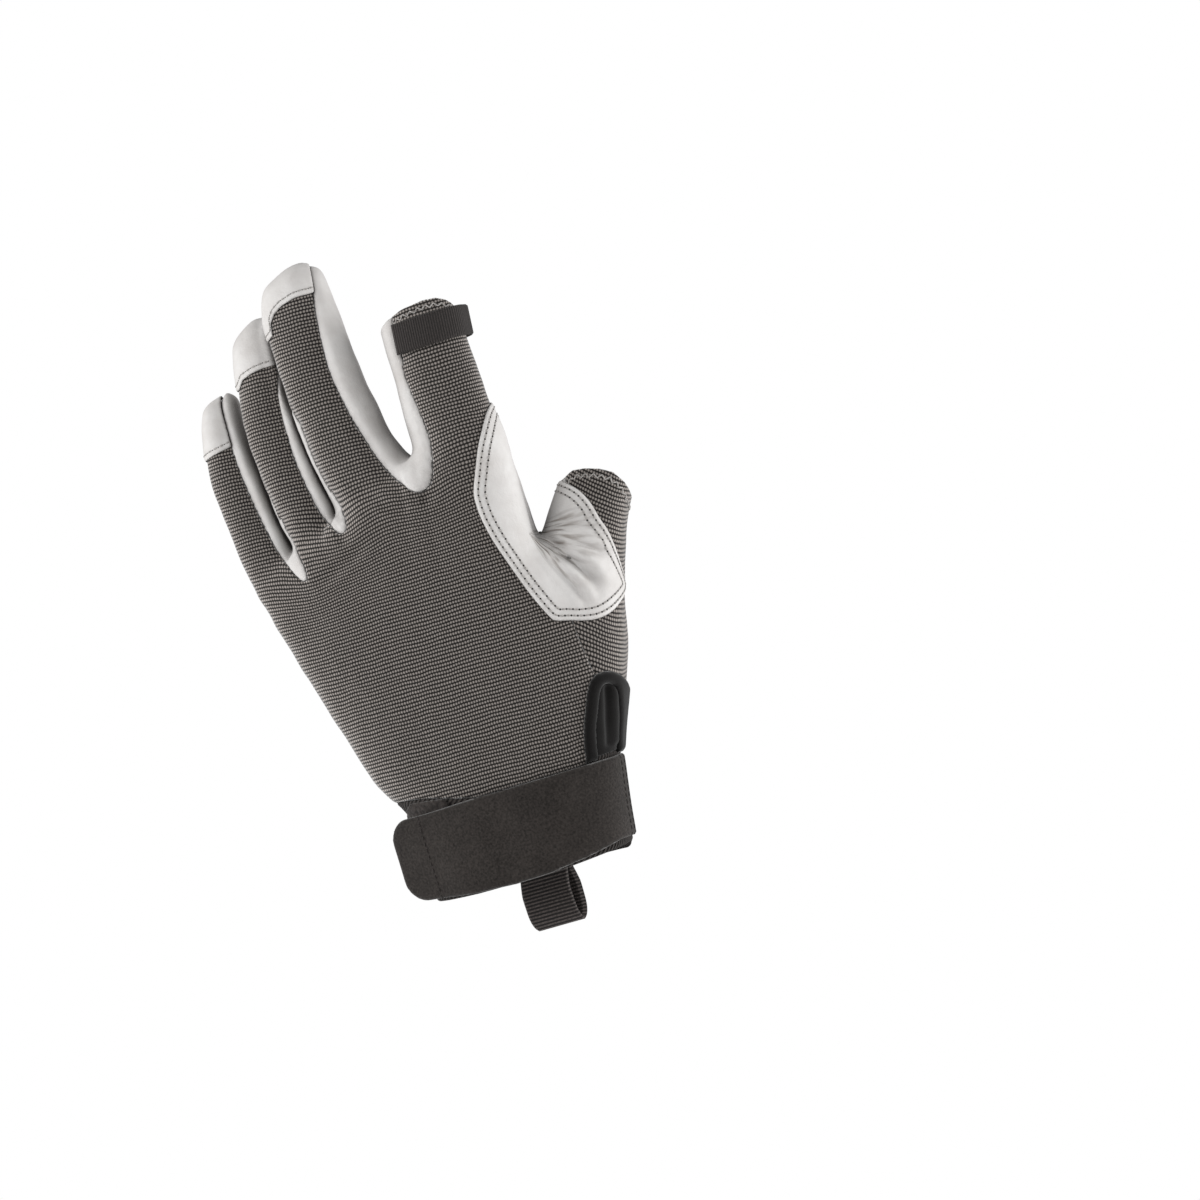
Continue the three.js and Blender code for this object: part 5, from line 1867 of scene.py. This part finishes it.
@dataclass(frozen=True)
class GoatLeather:
    """Thin dyed goatskin, drummed soft: pale and matt, with fine grain, faint wrinkles, cloudy colour and
    painted shade.
    """

    name: str
    pale: str = "#efedeb"
    deep: str = "#dcd8d5"
    grain: float = 0.7  # mm across a pebble
    wrinkle: float = 6.0  # mm from wrinkle to wrinkle
    soil: str = "#3a3430"  # painted shade: colour of the hollows, creases and gaps between the fingers
    hollow_shade_reach: float = 20.0
    valley: str = "#938981"  # painted shade in the wrinkles of the fan
    fan: float = 0.0  # strength of the wrinkles that spread from the crotch of the thumb

    def build(self) -> Material:
        """The material."""
        make = Shading(self.name, Roughness=0.62, Specular_IOR_Level=0.3, Sheen_Weight=0.05)
        here = make.here()
        cloud = make.noise(here, 70.0, 4.0, Roughness=0.6)
        colour = make.ramp(cloud, (0.3, self.deep), (0.68, self.pale))
        # Painted shade: ambient occlusion darkens the colour in hollows, creases and between the fingers
        hollow = make.add("ShaderNodeAmbientOcclusion", {"Distance": self.hollow_shade_reach * MM}, samples=8)
        painted_shade = make.ramp(hollow.outputs["AO"], (0.15, self.soil), (0.97, "#ffffff"))
        pebble = make.add("ShaderNodeTexVoronoi", {"Scale": 1 / (self.grain * MM), "Vector": here})
        wrinkle = make.noise(here, 1 / (self.wrinkle * MM), 5.0, Distortion=1.2)
        height = make.calc("MULTIPLY_ADD", pebble.outputs["Distance"], 0.18, wrinkle)
        if self.fan:
            uv = make.weave()
            rays = make.noise(make.vector("MULTIPLY", uv, (1.0, 0.16, 0.0)), 58.0, 2.0)
            far = make.add("ShaderNodeSeparateXYZ", {0: uv}).outputs["Y"]
            fade = make.mapped(far, 0.08, 0.30, 1.0, 0.0)
            # Painted shade in the valleys of the fan's wrinkles
            painted_shade = make.darkened(fade, painted_shade, make.ramp(rays, (0.36, self.valley), (0.52, "#ffffff")))
            height = make.calc("MULTIPLY_ADD", make.calc("MULTIPLY", rays, fade), self.fan, height)
        return make.done(make.darkened(1.0, colour, painted_shade), height, 0.35, 0.0006)


@dataclass(frozen=True)
class Ribbed:
    """Knitted elastic or woven nylon tape: dull dark ribs, each with a lighter crest."""

    name: str
    valley: str = "#1f1c1b"
    crest: str = "#6a625f"
    pitch: float = 1.3  # mm from rib to rib, drawn coarser than the real 0.9 so that it shows
    slant: float = 0.0  # mm along for each mm up
    speck: float = 140.0
    roughness: float = 0.8
    gloss: float = 0.3
    strength: float = 0.6
    relief: float = 0.0003

    def build(self) -> Material:
        """The material."""
        make = Shading(self.name, Roughness=self.roughness, Specular_IOR_Level=self.gloss, Sheen_Weight=0.1)
        uv = make.weave()
        apart = make.add("ShaderNodeSeparateXYZ", {0: uv}).outputs
        lean = make.calc("MULTIPLY_ADD", apart["Y"], self.slant, apart["X"])
        wave = make.calc("SINE", make.calc("MULTIPLY", lean, WEAVE_UNIT * 2 * math.pi / self.pitch))
        half = make.calc("MULTIPLY_ADD", wave, 0.5, 0.5)
        value = make.calc("MULTIPLY", half, make.noise(uv, self.speck, 2.0))
        colour = make.ramp(value, (0.1, self.valley), (0.6, self.crest))
        return make.done(colour, half, self.strength, self.relief)


@dataclass(frozen=True)
class BrushedNylon:
    """Brushed nylon: short raised fibres in a soft speckle, dark and without gloss."""

    name: str
    deep: str = "#211e1c"
    light: str = "#423d3a"
    fibre: float = 0.8  # mm across a tuft, drawn coarser than a fibre so that it shows
    relief: float = 0.0003

    def build(self) -> Material:
        """The material."""
        make = Shading(self.name, Roughness=0.95, Specular_IOR_Level=0.1, Sheen_Weight=0.3)
        here = make.here()
        tuft = make.noise(here, 1 / (self.fibre * MM), 3.0)
        both = make.calc("MULTIPLY_ADD", tuft, 2.2, make.noise(here, 60.0, 3.0))
        share = make.calc("MULTIPLY", both, 0.31)
        return make.done(make.ramp(share, (0.32, self.deep), (0.68, self.light)), tuft, 0.7, self.relief)


@dataclass(frozen=True)
class SpunThread:
    """Spun polyester sewing thread: dull, slightly lighter or darker than what it holds."""

    name: str
    colour: str = "#c9c5c1"

    def build(self) -> Material:
        """The material."""
        make = Shading(self.name, Roughness=0.7, Specular_IOR_Level=0.3)
        twist = make.noise(make.here(), 2500.0, 1.0)
        darker = "#" + "".join(f"{int(int(self.colour[i:i + 2], 16) * 0.75):02x}" for i in (1, 3, 5))
        return make.done(make.ramp(twist, (0.35, darker), (0.65, self.colour)))


KNIT = Ribbed("knitted_elastic", "#1c1918", "#4d4744", 1.9, 0.9, 130.0, 0.85, 0.25, 0.8, 0.0005)


class Finishes:
    """One material for each finish of the glove."""

    def __init__(self) -> None:
        """Builds the materials."""
        self.woven = WovenCloth("woven_nylon").build()
        self.leather = GoatLeather("drummed_goatskin").build()
        self.creased = GoatLeather("creased_goatskin", fan=13.0).build()
        self.elastic = KNIT.build()
        self.brushed = BrushedNylon("brushed_nylon").build()
        self.pile = BrushedNylon("nylon_pile", "#201d1c", "#4a4441", 1.5, 0.0008).build()
        self.webbing = Ribbed("woven_webbing").build()
        self.tape = Ribbed("woven_tape", "#272423", "#46403e", 0.9).build()
        self.binding = BrushedNylon("folded_binding_tape", "#0b0a0a", "#161413", 0.5, 0.0001).build()
        self.thread = SpunThread("spun_thread").build()
        # The dark thread also colours the needle holes: small dark discs painted as the shade inside each
        # hole
        self.dark_thread_and_hole_shade = SpunThread("spun_dark_thread_and_hole_shade", "#3a3533").build()


# Studio


@dataclass
class Studio:
    """Pale floor, soft lights from both sides and the camera of the photograph."""

    frame_width: float = 438.0  # mm of the object's plane that the picture spans
    distance: float = 1.4
    middle_across: float = 53.3
    middle_up: float = 89.5
    floor: float = -0.6
    # Name, place from the target to the right, to the camera and up, side in metres, power in watts
    lights: tuple[tuple[str, tuple[float, float, float], float, float], ...] = (
        ("left_softbox", (-1.0, 0.15, 0.25), 1.0, 7.5),
        ("right_softbox", (1.0, 0.1, -0.1), 0.5, 8.5),
        ("front_fill", (-0.4, 1.4, 0.8), 1.2, 9.5),
    )

    def build(self) -> None:
        """Builds the studio."""
        scene = bpy.context.scene
        right = Vector((math.cos(VIEW_YAW), math.sin(VIEW_YAW), 0.0))
        out = Vector((math.sin(VIEW_YAW), -math.cos(VIEW_YAW), 0.0))
        up = Vector((0.0, 0.0, 1.0))
        target = right * self.middle_across * MM + up * self.middle_up * MM
        lens = bpy.data.cameras.new("view")
        lens.sensor_width = 36.0
        lens.lens = 36.0 * self.distance / (self.frame_width * MM)
        lens.clip_end = 20.0
        camera = bpy.data.objects.new("view", lens)
        scene.collection.objects.link(camera)
        top = up * math.cos(VIEW_ROLL) + right * math.sin(VIEW_ROLL)
        side = right * math.cos(VIEW_ROLL) - up * math.sin(VIEW_ROLL)
        camera.matrix_world = Matrix((
            (side.x, top.x, out.x, 0), (side.y, top.y, out.y, 0), (side.z, top.z, out.z, 0), (0, 0, 0, 1)))
        camera.location = target + out * self.distance
        scene.camera = camera
        self._floor()
        for name, (across, near, above), size, power in self.lights:
            self._light(name, right * across + out * near + up * above, target, size, power)
        self._world()
        scene.view_settings.view_transform = "Standard"

    def _floor(self) -> None:
        """A wide pale floor below the glove."""
        count = 96
        turn = np.linspace(0, 2 * math.pi, count, endpoint=False)
        ring = np.column_stack([2 * np.cos(turn), 2 * np.sin(turn), np.full(count, self.floor)])
        mesh = bpy.data.meshes.new("floor")
        mesh.from_pydata(ring.tolist(), [], [list(range(count))])
        material = bpy.data.materials.new("pale_floor")
        material.use_nodes = True
        material.node_tree.nodes["Principled BSDF"].inputs["Base Color"].default_value = linear("#f4f4f4")
        material.node_tree.nodes["Principled BSDF"].inputs["Roughness"].default_value = 0.9
        mesh.materials.append(material)
        obj = bpy.data.objects.new("floor", mesh)
        bpy.context.scene.collection.objects.link(obj)

    @staticmethod
    def _light(name: str, place_: Vector, target: Vector, size: float, power: float) -> None:
        """A square soft light aimed at the glove.

        Args:
            name: Name of the light.
            place_: Where it stands from the target.
            target: What it is aimed at.
            size: Side in metres.
            power: Power in watts.
        """
        data = bpy.data.lights.new(name, "AREA")
        data.size, data.energy = size, power
        light = bpy.data.objects.new(name, data)
        bpy.context.scene.collection.objects.link(light)
        light.location = target + place_
        light.rotation_euler = place_.to_track_quat("Z", "Y").to_euler()

    @staticmethod
    def _world() -> None:
        """White for the camera, softer for lighting."""
        world = bpy.data.worlds.new("studio")
        bpy.context.scene.world = world
        world.use_nodes = True
        tree = world.node_tree
        tree.nodes.clear()
        path = add(tree, "ShaderNodeLightPath")
        seen = add(tree, "ShaderNodeBackground", {"Color": (1, 1, 1, 1), "Strength": 1.0})
        lit = add(tree, "ShaderNodeBackground", {"Color": (1, 1, 1, 1), "Strength": 0.22})
        ways = {0: path.outputs["Is Camera Ray"], 1: lit.outputs[0], 2: seen.outputs[0]}
        both = add(tree, "ShaderNodeMixShader", ways)
        add(tree, "ShaderNodeOutputWorld", {"Surface": both.outputs[0]})


def main() -> None:
    """Builds the glove and its studio."""
    logging.basicConfig(level=logging.INFO, format="%(name)s: %(message)s")
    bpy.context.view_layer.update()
    sewing = Sewing()
    finishes = Finishes()
    form = HandForm().build()
    cuff = Panels(form, sewing, finishes).build()
    Cuff(form, cuff, sewing, finishes).build()
    IndexTab(form, sewing, finishes).build()
    Studio().build()


if __name__ == "__main__":
    main()
